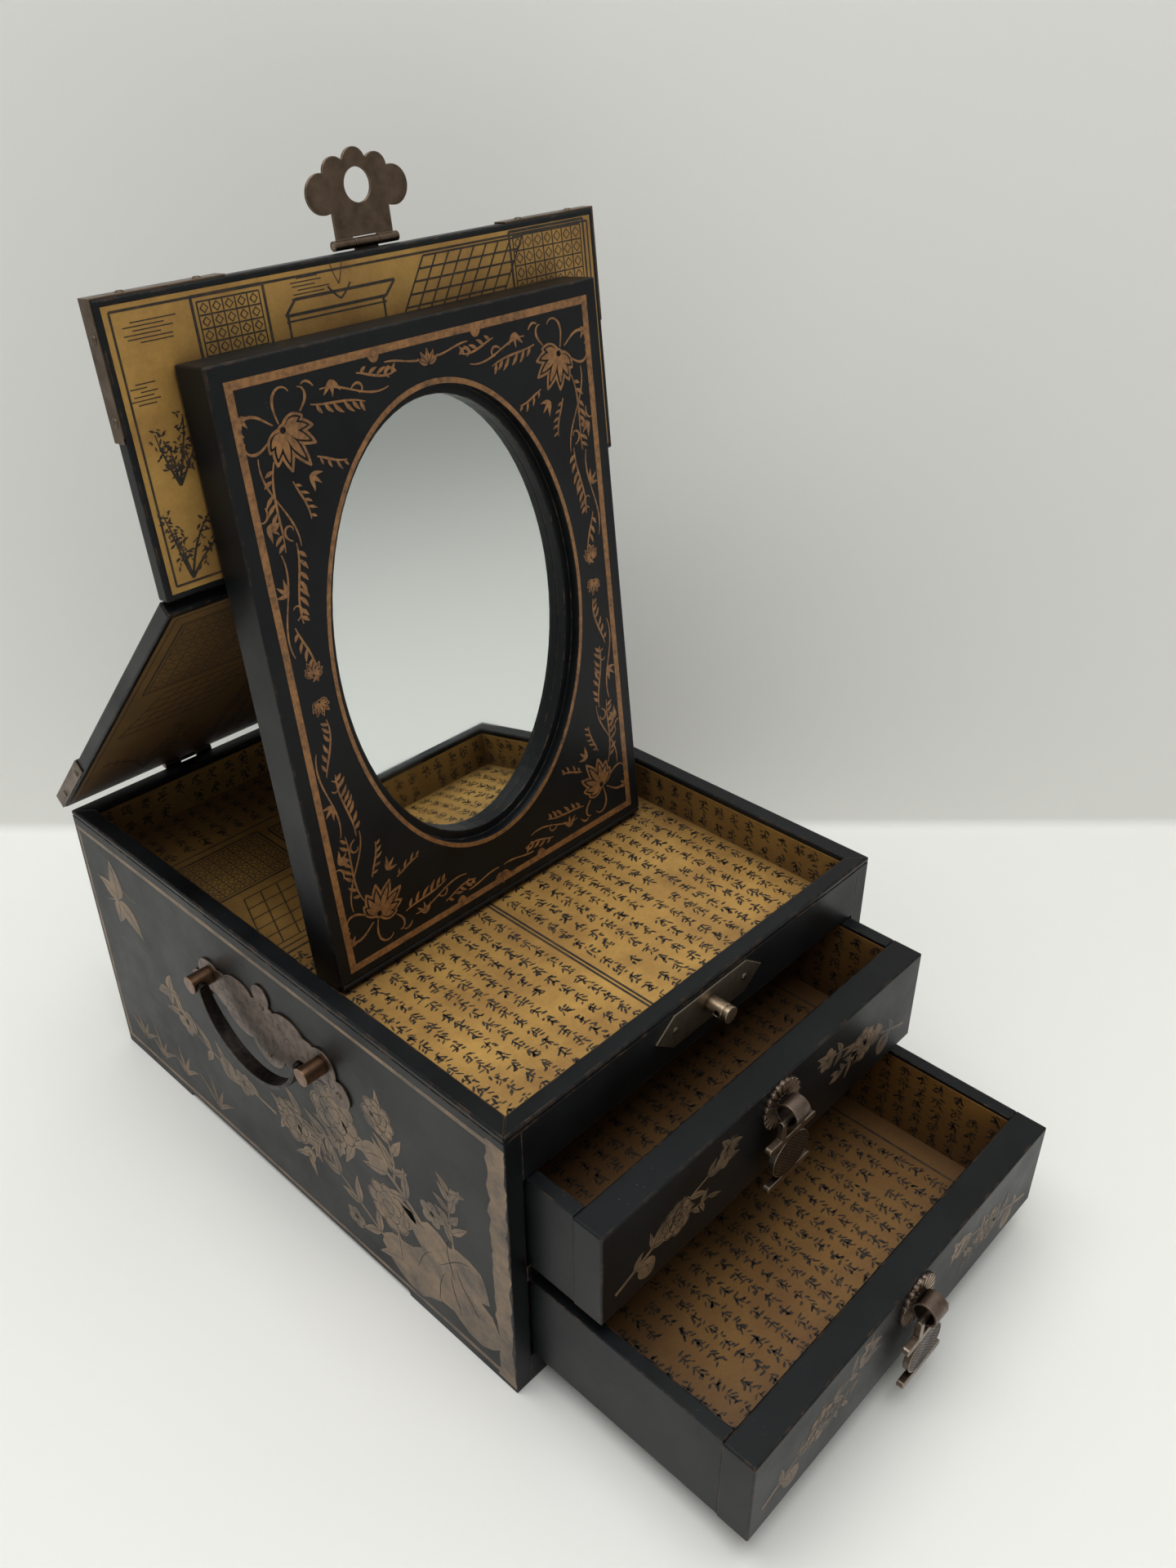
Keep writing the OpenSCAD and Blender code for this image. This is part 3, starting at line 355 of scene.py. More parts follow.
def away(at, angle, reach, stretch=1.0):
    """The point a reach away at an angle in degrees; stretch scales its height."""
    turn = math.radians(angle)
    return at[0] + reach * math.cos(turn), at[1] + stretch * reach * math.sin(turn)


def between(values, t):
    """Reads a list of evenly spaced values at t from 0 to 1."""
    place = t * (len(values) - 1)
    low = min(int(place), len(values) - 2)
    return values[low] + (values[low + 1] - values[low]) * (place - low)


def vine(start, heading, length, turn, end_turn, steps=16):
    """A path in mm whose bend in degrees a millimetre changes from turn to end_turn."""
    path = [start]
    for k in range(steps):
        heading += (turn + (end_turn - turn) * (k + 0.5) / steps) * length / steps
        path.append(away(path[-1], heading, length / steps))
    return path


def heading_at(path, k):
    """The direction of a path at its point k, in degrees."""
    a, b = path[max(k - 1, 0)], path[min(k + 1, len(path) - 1)]
    return math.degrees(math.atan2(b[1] - a[1], b[0] - a[0]))


class Brushwork:
    """Paint or ink on one flat face: each stroke is a thin closed plate, placed in mm.

    lift is how high the coat stands; centre and hand shift and mirror what is drawn next."""

    # In mm: the foot of a stroke, the height of dark over gold, and the step from one stroke
    # to the next, which starts over after so many layers.
    SUNK, DARK_OVER_GOLD, HAIR, LAYERS = -0.02, 0.05, 0.0015, 24

    def __init__(self, corner, across, up, lift=0.05):
        self.corner, self.across, self.up, self.lift = corner, across, up, lift
        self.out = across.cross(up)
        self.centre, self.hand = (0, 0), (1, 1)
        self.verts, self.faces, self.paints, self.layer = [], [], [], 0

    def point(self, u, v, height):
        u = self.centre[0] + self.hand[0] * u
        v = self.centre[1] + self.hand[1] * v
        return self.corner + (self.across * u + self.up * v + self.out * height) / 1000

    def heights(self, paint, raised=0.0):
        """The foot and the top of a stroke; each lies a hair above the one before it."""
        self.layer = (self.layer + 1) % self.LAYERS
        return self.SUNK, (self.lift + raised + self.DARK_OVER_GOLD * (paint == DARK)
                           + self.HAIR * self.layer)

    def close(self, faces, paint):
        self.faces += faces
        self.paints += [paint] * len(faces)

    def stroke(self, path, widths, paint=GOLD, raised=0.0):
        """A brush stroke along a path, as wide as the evenly spread widths say."""
        first, last, levels = len(self.verts), len(path) - 1, self.heights(paint, raised)
        for k, (u, v) in enumerate(path):
            turn = math.radians(heading_at(path, k))
            half = between(widths, k / last) / 2
            for side in (half, -half):
                for height in levels:
                    self.verts.append(self.point(
                        u - math.sin(turn) * side, v + math.cos(turn) * side, height))
        faces = [(first, first + 1, first + 3, first + 2)]
        for a in range(first, first + 4 * last, 4):
            faces += [(a + 1, a + 5, a + 7, a + 3), (a, a + 2, a + 6, a + 4),
                      (a, a + 4, a + 5, a + 1), (a + 2, a + 3, a + 7, a + 6)]
        a = first + 4 * last
        self.close(faces + [(a, a + 2, a + 3, a + 1)], paint)

    def patch(self, outline, paint=GOLD):
        """A filled shape with the given outline."""
        first, n = len(self.verts), len(outline)
        for height in self.heights(paint):
            self.verts += [self.point(u, v, height) for u, v in outline]
        low, high = range(first, first + n), range(first + n, first + 2 * n)
        self.close([tuple(high), tuple(reversed(low))]
                   + [(low[k], low[(k + 1) % n], high[(k + 1) % n], high[k])
                      for k in range(n)], paint)

    def leaf(self, start, heading, length, width, bend=0.0, vein=True):
        """A pointed leaf that bends by so many degrees in all, with or without a dark vein."""
        path = vine(start, heading, length, bend / length, bend / length, 6)
        self.stroke(path, [0.15, 0.8 * width, width, 0.75 * width, 0.4 * width, 0.1])
        if vein:
            self.stroke(path[:-1], [0.16, 0.12], DARK)

    def disc(self, at, r, paint=GOLD):
        self.patch([away(at, 30 * k, r) for k in range(12)], paint)

    def lotus(self, at, heading, size, dice):
        """An open lotus: pointed petals with a dark line inside, on two curled sepals."""
        for turn, share in ((-88, 0.62), (88, 0.62), (-62, 0.82), (62, 0.82), (-33, 0.97),
                            (33, 0.97), (0, 1.08)):
            start = away(at, heading + turn, 0.1 * size)
            length = share * size * dice.uniform(0.93, 1.06)
            for width, reach, paint, raised in ((0.42, 1, GOLD, 0), (0.29, 0.86, DARK, 0),
                                                (0.2, 0.74, GOLD, 0.1)):
                bend = -turn * 0.25 / length
                path = vine(start, heading + turn, reach * length, bend, bend, 7)
                widths = [0.25, 0.72, 1, 0.94, 0.62, 0.12]
                self.stroke(path, [w * width * size for w in widths], paint, raised)
        for side in (-1, 1):
            self.stroke(vine(at, heading + side * 126, 0.9 * size, -side * 10 / size,
                             -side * 420 / size, 10), [0.16 * size, 0.1 * size, 0.1])
        self.disc(at, 0.16 * size)
        self.disc(at, 0.09 * size, DARK)

    def feather(self, path, side, size, leaves, dice):
        """A scrolling stem with a comb of comma-shaped leaflets along one side."""
        self.stroke(path, [0.4, 0.8, 0.7, 0.35])
        last = len(path) - 1
        for k in range(leaves):
            t = 0.1 + 0.8 * k / (leaves - 1)
            at = path[round(t * last)]
            turn = heading_at(path, round(t * last)) + side * dice.uniform(52, 68)
            length = size * (0.62 + 0.5 * math.sin(math.pi * t)) * dice.uniform(0.88, 1.1)
            self.stroke(vine(at, turn, length, -side * 4, -side * 34 / size, 6),
                        [0.2, 0.24 * size, 0.3 * size, 0.2 * size, 0.1])

    def mesh_into(self, mesh):
        """Fills a mesh with the strokes, their faces turned outwards."""
        mesh.from_pydata(self.verts, [], self.faces)
        mesh.polygons.foreach_set("material_index", self.paints)
        shape = bmesh.new()
        shape.from_mesh(mesh)
        bmesh.ops.recalc_face_normals(shape, faces=shape.faces)
        shape.to_mesh(mesh)
        shape.free()

    def done(self, name, body, slot, paints):
        """Makes the piece and lets it ride on its body."""
        mesh = bpy.data.meshes.new(name)
        for paint in paints:
            mesh.materials.append(paint)
        self.mesh_into(mesh)
        piece = link_piece(name, mesh)
        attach(piece, body)


# The mirror leans back 7 degrees. The low front edge of its frame lies half the foot bead's
# thickness, in metres, before and below the axis that it turns on.
lean, half_bead = math.radians(97), 0.0009
RIGHT, BACK, UP = Vector((1, 0, 0)), Vector((0, 1, 0)), Vector((0, 0, 1))
mirror_up = Vector((0, -math.cos(lean), math.sin(lean)))
mirror_out = RIGHT.cross(mirror_up)
axis = {j["name"]: Vector(j["pos_m"]) for j in frame["joints"] if "pos_m" in j}
mirror_foot = axis["lid_fold"] + (mirror_out - mirror_up) * half_bead
# In mm: the frame, the oval's middle height and half axes, the line's inset and its width.
frame_w, frame_h, oval_mid, oval_rx, oval_ry = 156, 211, 108.5, 55, 82
edge, line = 5.0, 2.6
dice = random.Random(3)
work = Brushwork(mirror_foot, RIGHT, mirror_up)
side_u, low_v, high_v = frame_w / 2 - edge - line / 2, edge + line / 2, frame_h - edge - line / 2
for s in (-1, 1):
    work.stroke([(s * side_u, v) for v in (low_v - line / 2, 60, 120, high_v + line / 2)],
                [line, line * 0.92, line])
for v in (low_v, high_v):
    work.stroke([(u, v) for u in (-side_u + line / 2, 0, side_u - line / 2)],
                [line, line * 0.9, line])
work.stroke([((oval_rx + 0.9) * math.cos(math.radians(4 * k)),
              oval_mid + (oval_ry + 0.9) * math.sin(math.radians(4 * k)))
             for k in range(91)], [1.5, 1.8, 1.4, 1.7, 1.5])
work.centre = (0, oval_mid)
for s, t in ((-1, -1), (-1, 1), (1, -1), (1, 1)):
    work.hand = (s, t)
    top = 94.9 if t > 0 else 100.9   # mm from the oval's middle to the top or the foot line
    work.lotus((57, top - 14), 238, 11.5, dice)
    for curl in (
            ((58, top - 12), 78, 15, -3, 24), ((60, top - 12), 28, 16, 6, -26),
            ((62, top - 16), -28, 12, -6, 30), ((50, top - 10), 128, 9, 6, -34)):
        work.stroke(vine(*curl, 14), [0.5, 0.95, 0.35])
    for *stem, side, size, leaves in (
            ((62, top - 22), -62, 27, -3.4, 1.8, 1, 4.4, 8),
            ((60, top - 47), -96, 25, 3.4, -3.6, -1, 4.6, 8),
            ((66.5, top - 72), -104, 20, -2.6, 5.5, 1, 4.0, 6),
            ((46, top - 9), 196, 20, -2.6, 3.2, 1, 4.4, 6),
            ((28, top - 3.6), 190, 15, 3.6, -7.5, -1, 3.9, 5),
            ((47, top - 24), 196, 11, 4.0, -7.0, 1, 3.2, 4),
            ((57, top - 29), 252, 13, -3.0, 6.0, -1, 3.2, 5)):
        work.feather(vine(*stem, 20), side, size, leaves, dice)
    for start, heading, length, turn in (
            ((61, top - 46), 20, 9, 26), ((65, top - 70), 160, 8, -26),
            ((31, top - 8), 120, 8, 28), ((13, top - 6), 60, 7, -30),
            ((44, top - 4), 60, 5, -20), ((68, top - 34), 250, 6, 20)):
        work.stroke(vine(start, heading, length, turn * 0.3, turn * 1.8, 12), [0.4, 0.85, 0.3])
    for tendril in (
            ((67, top - 20), -74, 30, -5.5, 4.5), ((66, top - 49), -112, 33, 4.6, -4.4),
            ((42, top - 5.5), 170, 26, 5.0, -5.5), ((17, top - 2.6), 176, 16, 4.5, -5.0)):
        work.stroke(vine(*tendril, 20), [0.35, 0.7, 0.5, 0.7, 0.3])
    for start, heading, length in (((69, top - 40), 200, 5), ((66, top - 61), 20, 5),
                                   ((38, top - 3.6), 250, 5), ((71, top - 8), 210, 4),
                                   ((20, top - 1.8), 60, 4), ((51, top - 29), 200, 5)):
        for spread in (-40, 0, 40):
            work.leaf(start, heading + spread, length, 1.5, 30, False)
    work.lotus((63.5, 6 if t > 0 else 3), 100, 4.6, dice)
work.hand = (1, 1)
for v, heading in ((88.6, 90), (-94, 270)):
    for turn in (-80, -44, 0, 44, 80):
        work.leaf((0, v - 0.03 * heading + 2.7), heading + turn, 4.8, 2.0, -turn * 0.4)
work.done("mirror_frame_painting", "front_leaf", "lacquer", (worn_gold, black_lacquer))


# ---- Gold painting on the case ----
# Each side has a gold line round it, a wide worn band up the edge at its right as one faces
# it, and a flowering peach bough that grows from a rock, all brushed on by hand.

# Handling has greyed and dulled this gold; GREYED is the width of a grey patch in mm.
GREYED = 14.29
faded_gold, tree, shader, place = finish("faded_bronze_powder_paint")
powder = add(tree, "TexNoise", {"Vector": place, "Scale": 1000 / GREYED, "Detail": 8,
                                "Roughness": 0.72})
greyed = add(tree, "ValToRGB", {"Fac": powder}, stops=((0.34, "#3d342c"), (0.68, "#8d7355")))
wire(tree, shader, {"Metallic": 0.15, "Roughness": 0.45, "Base Color": greyed})


def bough(work, start, heading, length, turn, end_turn, thickness, leaf_length, dice, gap=3):
    """A branch with pairs of pointed leaves; returns its path."""
    path = vine(start, heading, length, turn, end_turn, 20)
    work.stroke(path, [thickness, 0.75 * thickness, 0.35 * thickness])
    for k in range(3, 20, gap):
        for side in (-1, 1):
            if dice.random() < 0.86:
                work.leaf(path[k], heading_at(path, k) + side * dice.uniform(28, 64),
                          leaf_length * dice.uniform(0.7, 1.15), leaf_length * 0.32,
                          side * dice.uniform(-30, 30))
    return path


def blossom(work, at, r, dice):
    """Five round petals, each with a dark line from the middle."""
    turn = dice.uniform(0, 72)
    for k in range(5):
        spot = away(at, turn + 72 * k, 0.58 * r)
        work.disc(spot, 0.42 * r)
        work.stroke([at, spot], [0.15, 0.12], DARK)


def peony(work, at, r, dice):
    """A full round flower: three rings of petals, each petal with a dark rim."""
    for count, out, size, turn in ((8, 0.66, 0.36, 0), (5, 0.33, 0.34, 20), (3, 0.1, 0.22, 50)):
        for k in range(count):
            a = turn + 360 * k / count + dice.uniform(-6, 6)
            spot = away(at, a, out * r)
            work.disc(spot, size * r * dice.uniform(0.94, 1.1))
            work.stroke([away(spot, a + b, 0.84 * size * r) for b in range(-110, 111, 22)],
                        [0.1, 0.34, 0.1], DARK)


def peach(work, at, r, heading):
    """A round fruit whose pointed tip looks along the heading, with a dark seam."""
    outline = []
    for k in range(16):
        turn = 360 * k / 16
        swell = r * (1 + 0.18 * max(0, math.cos(math.radians(turn))) ** 6)
        outline.append(away(at, heading + turn, swell))
    work.patch(outline)
    work.stroke(vine(away(at, heading, -0.8 * r), heading - 22, 1.7 * r, 26 / r, 26 / r, 6),
                [0.12, 0.25, 0.12], DARK)


def rock(work, at, size, dice):
    """A garden rock: overlapping rounded lumps with dark creases."""
    for du, dv, r in ((0, 0.25, 0.34), (0.38, 0.42, 0.36), (0.7, 0.3, 0.32), (0.3, 0.78, 0.25),
                      (0.62, 0.72, 0.27)):
        middle = (at[0] + du * size, at[1] + dv * size)
        work.patch([away(middle, 360 * k / 14, r * size * dice.uniform(0.86, 1.1), 0.8)
                    for k in range(14)])
    for du, dv, heading in ((0.05, 0.3, 60), (0.3, 0.15, 75), (0.55, 0.2, 100), (0.35, 0.6, 40),
                            (0.75, 0.35, 120), (0.5, 0.55, 95)):
        work.stroke(vine((at[0] + du * size, at[1] + dv * size), heading, 0.42 * size,
                         2.5, -4.5, 8), [0.15, 0.4, 0.1], DARK)


def butterfly(work, at, size, heading):
    for side in (-1, 1):
        work.leaf(at, heading + side * 52, size, 0.52 * size, side * 24)
        work.leaf(at, heading + side * 112, 0.68 * size, 0.42 * size, side * 30)
        work.stroke(vine(at, heading + side * 16, 0.7 * size, 0, side * 9, 6), [0.25, 0.12])
    work.stroke([at, away(at, heading, -0.6 * size)], [0.9, 0.7, 0.2])


def side_painting(work, name, seed):
    """u runs to the right as one faces the panel, v from the floor up."""
    dice = random.Random(seed)
    low, high = 5.2, 117.2
    work.stroke([(u, high) for u in (1, 80, 170, 242)], [1.8, 2.2, 1.6, 2.2])
    work.stroke([(u, low) for u in (1, 90, 180, 242)], [1.6, 2.1, 1.7, 2.2])
    work.stroke([(2.4, v) for v in (low, 60, high)], [1.6, 2.0, 1.5])
    work.stroke([(245.6 + dice.uniform(-0.5, 0.4), v) for v in range(2, 122, 3)],
                [dice.uniform(6.2, 9.4) for k in range(26)])
    rock(work, (198, 8), 46, dice)
    trunk = bough(work, (214, 40), 128, 74, 0.4, 1.4, 2.6, 15, dice)
    bough(work, (204, 14), 166, 84, -0.8, 0.5, 1.7, 14, dice)
    crown = bough(work, trunk[8], 76, 30, 1.2, 2.6, 1.4, 13, dice)
    low_bough = bough(work, trunk[12], 204, 62, 0.6, -1.4, 1.6, 14, dice)
    far = bough(work, (120, 40), 172, 70, 0.5, -1.4, 1.4, 13, dice)
    bough(work, low_bough[10], 236, 24, -0.6, 1.8, 1.0, 10, dice, 4)
    bough(work, (222, 48), 88, 34, 1.0, -2.0, 1.2, 11, dice)
    for at, r, heading in ((trunk[11], 6.4, 200), (low_bough[15], 5.8, 240),
                           ((trunk[6][0] - 2, trunk[6][1] - 9), 6.2, 260), (far[9], 5.2, 260)):
        peach(work, at, r, heading)
    for at, r in ((trunk[17], 13.5), ((trunk[7][0] - 8, trunk[7][1] - 15), 11.5),
                  (crown[19], 8.5), (low_bough[17], 10)):
        peony(work, at, r, dice)
    for at, r in ((far[6], 6.4), (far[17], 7.0), (low_bough[7], 6.2),
                  ((trunk[4][0] + 8, trunk[4][1] + 9), 6.0), ((166, 20), 5.4)):
        blossom(work, at, r, dice)
    for start in ((18, 12), (32, 10), (50, 12), (74, 9)):
        for turn in (-34, -14, 6, 28):
            work.leaf(start, 90 + turn, dice.uniform(12, 22), 2.4, turn)
    butterfly(work, (24, 92), 20, 25)
    butterfly(work, (52, 60), 11, 140)
    work.stroke(vine((10, 98), -20, 30, -1.0, 2.0, 12), [0.4, 0.9, 0.3])
    work.stroke(vine((18, 103), -10, 22, -2.0, 3.0, 12), [0.3, 0.7, 0.2])
    work.done(name, "case", "lacquer", (faded_gold, black_lacquer))


left_x, front_y, back_y = -95, -3.25, 246.75   # the faces of the case in mm
side_painting(Brushwork(metres(left_x, back_y, 0), -BACK, UP), "left_side_painting", 5)
side_painting(Brushwork(metres(-left_x, front_y, 0), BACK, UP), "right_side_painting", 8)


# ---- Gold lines on the back and the lid ----
# The back panel and the outer faces of both leaves are left black but for a double line near
# the edge, a wide one and a thin one, ruled with the same bronze paint.
def gold_border(work, low_u, low_v, high_u, high_v, name, body):
    """A double line inside the edges given in mm."""
    for inset, width in ((0, 1.7), (3.4, 0.6)):
        a, b, c, d = low_u + inset, low_v + inset, high_u - inset, high_v - inset
        for v in (b, d):
            work.stroke([(a, v), ((a + c) / 2, v), (c, v)], [width, 0.86 * width, width])
        for u in (a, c):
            work.stroke([(u, b), (u, (b + d) / 2), (u, d)], [width, 0.9 * width, width])
    work.done(name, body, "lacquer", (faded_gold, faded_gold))


rear_slope = math.radians(46.359)   # how steeply the rear leaf stands when the lid is open
rear_up = Vector((0, -math.cos(rear_slope), math.sin(rear_slope)))
rear_out = RIGHT.cross(rear_up)
fold_axis = axis["leaf_fold"]
gold_border(Brushwork(metres(0, back_y, 0), -RIGHT, UP), -89, 6, 89, 117.2,
            "back_gold_lines", "case")
gold_border(Brushwork(fold_axis, -RIGHT, rear_up), -90, -159.5, 90, -7, "rear_leaf_gold_lines",
            "rear_leaf")
gold_border(Brushwork(fold_axis, -RIGHT, mirror_up), -90, 7, 90, 78, "front_leaf_gold_lines",
            "front_leaf")


# ---- Gold painting on the drawer fronts ----
# Each drawer front has a spray of leaves, a peony, blossom and a peach at both sides of its
# pull, in the same bronze paint; the ground round the pull is left black.
def front_painting(body, seed):
    low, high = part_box(f"{body}_front")
    work = Brushwork(Vector((0, low.y, low.z)), RIGHT, UP)
    dice = random.Random(seed)
    for s in (-1, 1):
        work.hand = (s, 1)
        spray = bough(work, (81, dice.uniform(7.3, 10.3)), 164, 62, -0.6, 1.0, 1.4, 9, dice)
        twig = bough(work, spray[5], 148, 17, 1.0, 1.6, 0.9, 7, dice, 4)
        bough(work, spray[9], 205, 20, -1.0, -2.0, 0.9, 7, dice, 4)
        peony(work, (spray[10][0], spray[10][1] - 2), 7.6, dice)
        for at, r in ((twig[19], 4.6), (spray[18], 5.0)):
            blossom(work, at, r, dice)
        peach(work, (spray[6][0] + 3, spray[6][1] - 7), 4.2, 250)
    work.hand = (1, 1)
    butterfly(work, (-27, 30), 7, 60)
    work.done(f"{body}_painting", body, "lacquer", (faded_gold, black_lacquer))


front_painting("upper_drawer", 12)
front_painting("lower_drawer", 15)


# ---- Printing on the lining paper ----
# The paper is block-printed in black ink: close columns of small sprigs with ruled lines
# between them, and a garden terrace with a lattice screen on the lid and behind the mirror.

# Soot ink pressed on by a wooden block is matt, and brown where the block left it thin;
# THIN is the width of such a place in mm.
THIN = 3.846
block_ink, tree, shader, place = finish("block_printing_ink")
inking = add(tree, "TexNoise", {"Vector": place, "Scale": 1000 / THIN, "Detail": 4,
                                "Roughness": 0.7})
blackness = add(tree, "ValToRGB", {"Fac": inking}, stops=((0.42, "#17120c"), (0.72, "#43331d")))
wire(tree, shader, {"Roughness": 0.6, "Base Color": blackness})

# Columns of sprigs over a field: every sprig is eight dabs, one for the stem and seven for
# the short leaves about it.
DABS = 8
sprigs = bpy.data.node_groups.new("sprig_columns", "GeometryNodeTree")
inlets = {name: sprigs.interface.new_socket(name=name, in_out="INPUT",
                                            socket_type="NodeSocket" + kind)
          for name, kind in (("Across", "Float"), ("Along", "Float"), ("Columns", "Int"),
                             ("Rows", "Int"), ("Sprig size", "Float"), ("Seed", "Int"),
                             ("Ink", "Material"))}
sprigs.interface.new_socket(name="Geometry", in_out="OUTPUT", socket_type="NodeSocketGeometry")
field = add(sprigs, "NodeGroupInput").outputs
grid = add(sprigs, "GeometryNodeMeshGrid",
           {"Size X": field["Across"], "Size Y": field["Along"],
            "Vertices X": field["Columns"], "Vertices Y": field["Rows"]})
dabs = add(sprigs, "GeometryNodeDuplicateElements",
           {"Geometry": grid, "Amount": DABS}, domain="POINT")
dab = add(sprigs, "GeometryNodeInputIndex")
sprig = add(sprigs, "Math", {0: dab, 1: DABS}, operation="DIVIDE")
sprig = add(sprigs, "Math", {0: sprig}, operation="FLOOR")
made = {"turn": dabs.outputs["Duplicate Index"], "size": field["Sprig size"]}
# Random numbers, each with its range, one for every dab or one for every sprig.
for shift, (name, low, high, per) in enumerate((
        ("tilt", -0.25, 0.25, sprig), ("reach", 0.06, 0.3, dab), ("jog", -0.12, 0.12, dab),
        ("stray", -0.07, 0.07, sprig), ("rise", -0.06, 0.06, sprig), ("splay", 0.45, 1.75, dab),
        ("length", 0.26, 0.56, dab), ("width", 0.1, 0.19, dab), ("luck", 0.0, 1.0, sprig)), 1):
    seed = add(sprigs, "Math", {0: field["Seed"], 1: shift}, operation="ADD")
    made[name] = add(sprigs, "FunctionNodeRandomValue", {
        "Min": low, "Max": high, "ID": per, "Seed": seed})
# Sums, in order. Turn 0 is the stem; the leaves go to the left and the right by turns, each
# higher than the last, and hand is their side, or 0 for the stem.
for name, operation, a, b in (
        ("side", "MODULO", "turn", 2), ("side", "MULTIPLY", "side", 2),
        ("side", "SUBTRACT", "side", 1), ("stem", "LESS_THAN", "turn", 0.5),
        ("leaf", "SUBTRACT", 1, "stem"), ("hand", "MULTIPLY", "side", "leaf"),
        ("reach", "MULTIPLY", "size", "reach"), ("reach", "MULTIPLY", "hand", "reach"),
        ("stray", "MULTIPLY", "size", "stray"), ("x", "ADD", "reach", "stray"),
        ("step", "MULTIPLY", "turn", 0.125), ("jog", "SUBTRACT", "jog", 0.55),
        ("step", "ADD", "step", "jog"), ("leaf", "MULTIPLY", "size", "leaf"),
        ("step", "MULTIPLY", "leaf", "step"), ("rise", "MULTIPLY", "size", "rise"),
        ("y", "ADD", "step", "rise"), ("splay", "MULTIPLY", "hand", "splay"),
        ("splay", "ADD", "splay", math.pi / 2), ("angle", "ADD", "splay", "tilt"),
        ("longer", "MULTIPLY", "stem", 0.3), ("length", "ADD", "length", "longer"),
        ("length", "MULTIPLY", "size", "length"), ("width", "MULTIPLY", "size", "width"),
        ("printed", "GREATER_THAN", "luck", 0.03)):
    made[name] = add(sprigs, "Math", {0: made.get(a, a), 1: made.get(b, b)},
                     operation=operation)
move = add(sprigs, "CombineXYZ", {"X": made["x"], "Y": made["y"]})
spread_dabs = add(sprigs, "GeometryNodeSetPosition", {"Geometry": dabs, "Offset": move})
dab_turn = add(sprigs, "CombineXYZ", {"Z": made["angle"]})
dab_scale = add(sprigs, "CombineXYZ", {"X": made["length"], "Y": made["width"], "Z": 1.0})
INK = 0.00006   # metres of ink, half of them sunk into the paper
dab_shape = add(sprigs, "GeometryNodeMeshCylinder",
                {"Vertices": 5, "Radius": 0.5, "Depth": INK}, fill_type="NGON")
placed = add(sprigs, "GeometryNodeInstanceOnPoints",
             {"Points": spread_dabs, "Selection": made["printed"], "Instance": dab_shape,
              "Rotation": dab_turn, "Scale": dab_scale})
real = add(sprigs, "GeometryNodeRealizeInstances", {"Geometry": placed})
inked = add(sprigs, "GeometryNodeSetMaterial", {"Geometry": real, "Material": field["Ink"]})
add(sprigs, "NodeGroupOutput", {"Geometry": inked})

COLUMN_PITCH, SPRIG_PITCH, SPRIG_SIZE, PAPER = 7.8, 6.8, 6.1, 0.3   # mm


def print_field(sheet, corner, across, up, width, height, seed):
    """Prints sprig columns on a flat field, whose low corner is given, into a bmesh."""
    press = link_piece("printing_block", bpy.data.meshes.new("printing_block"))
    block = press.modifiers.new("sprigs", "NODES")
    block.node_group = sprigs
    columns = max(1, round(width / COLUMN_PITCH))
    rows = max(1, round(height / SPRIG_PITCH))
    for name, value in (("Across", (width - width / columns) / 1000),
                        ("Along", (height - height / rows) / 1000), ("Columns", columns),
                        ("Rows", rows), ("Sprig size", SPRIG_SIZE / 1000), ("Seed", seed),
                        ("Ink", block_ink)):
        block[inlets[name].identifier] = value
    mesh = bpy.data.meshes.new_from_object(
        press.evaluated_get(bpy.context.evaluated_depsgraph_get()))
    out = across.cross(up)
    middle = corner + (across * width / 2 + up * height / 2) / 1000 + out * 0.00001
    mesh.transform(Matrix.Translation(middle) @ Matrix((across, up, out)).transposed().to_4x4())
    sheet.from_mesh(mesh)
    bpy.data.objects.remove(press)
    bpy.data.meshes.remove(mesh)


def lattice(work, corner, side_a, side_b, lines_a, lines_b, width=0.5):
    """Crossing ruled lines over a slanted field: tiles, a screen or a table top."""
    for k in range(lines_a + 1):
        u, v = (corner[i] + side_b[i] * k / lines_a for i in (0, 1))
        work.stroke([(u, v), (u + side_a[0], v + side_a[1])], [width, width])
    for k in range(lines_b + 1):
        u, v = (corner[i] + side_a[i] * k / lines_b for i in (0, 1))
        work.stroke([(u, v), (u + side_b[0], v + side_b[1])], [width, width])


def screen(work, corner, w, h, cells, rim=1.6):
    """A framed screen whose cells hold a small square on its point."""
    u, v, w_in, h_in = corner[0] + rim, corner[1] + rim, w - 2 * rim, h - 2 * rim
    rows = max(1, round(cells * h / w))
    lattice(work, corner, (w, 0), (0, h), 1, 1, 0.9)
    lattice(work, (u, v), (w_in, 0), (0, h_in), rows, cells, 0.45)
    for i in range(cells):
        for k in range(rows):
            middle = (u + w_in * (i + 0.5) / cells, v + h_in * (k + 0.5) / rows)
            r = 0.34 * min(w_in / cells, h_in / rows)
            work.stroke([away(middle, turn, r) for turn in (180, 90, 0, 270, 180)], [0.4, 0.4])


def drift(work, u, v, length, dice):
    """Drifting cloud: level strokes of uneven length, one above another."""
    for k in range(6):
        start, level = u + dice.uniform(0, 0.3) * length, v + 1.1 * k
        work.stroke([(start, level), (start + dice.uniform(0.35, 0.7) * length, level)],
                    [0.3, 1.0, 0.3])


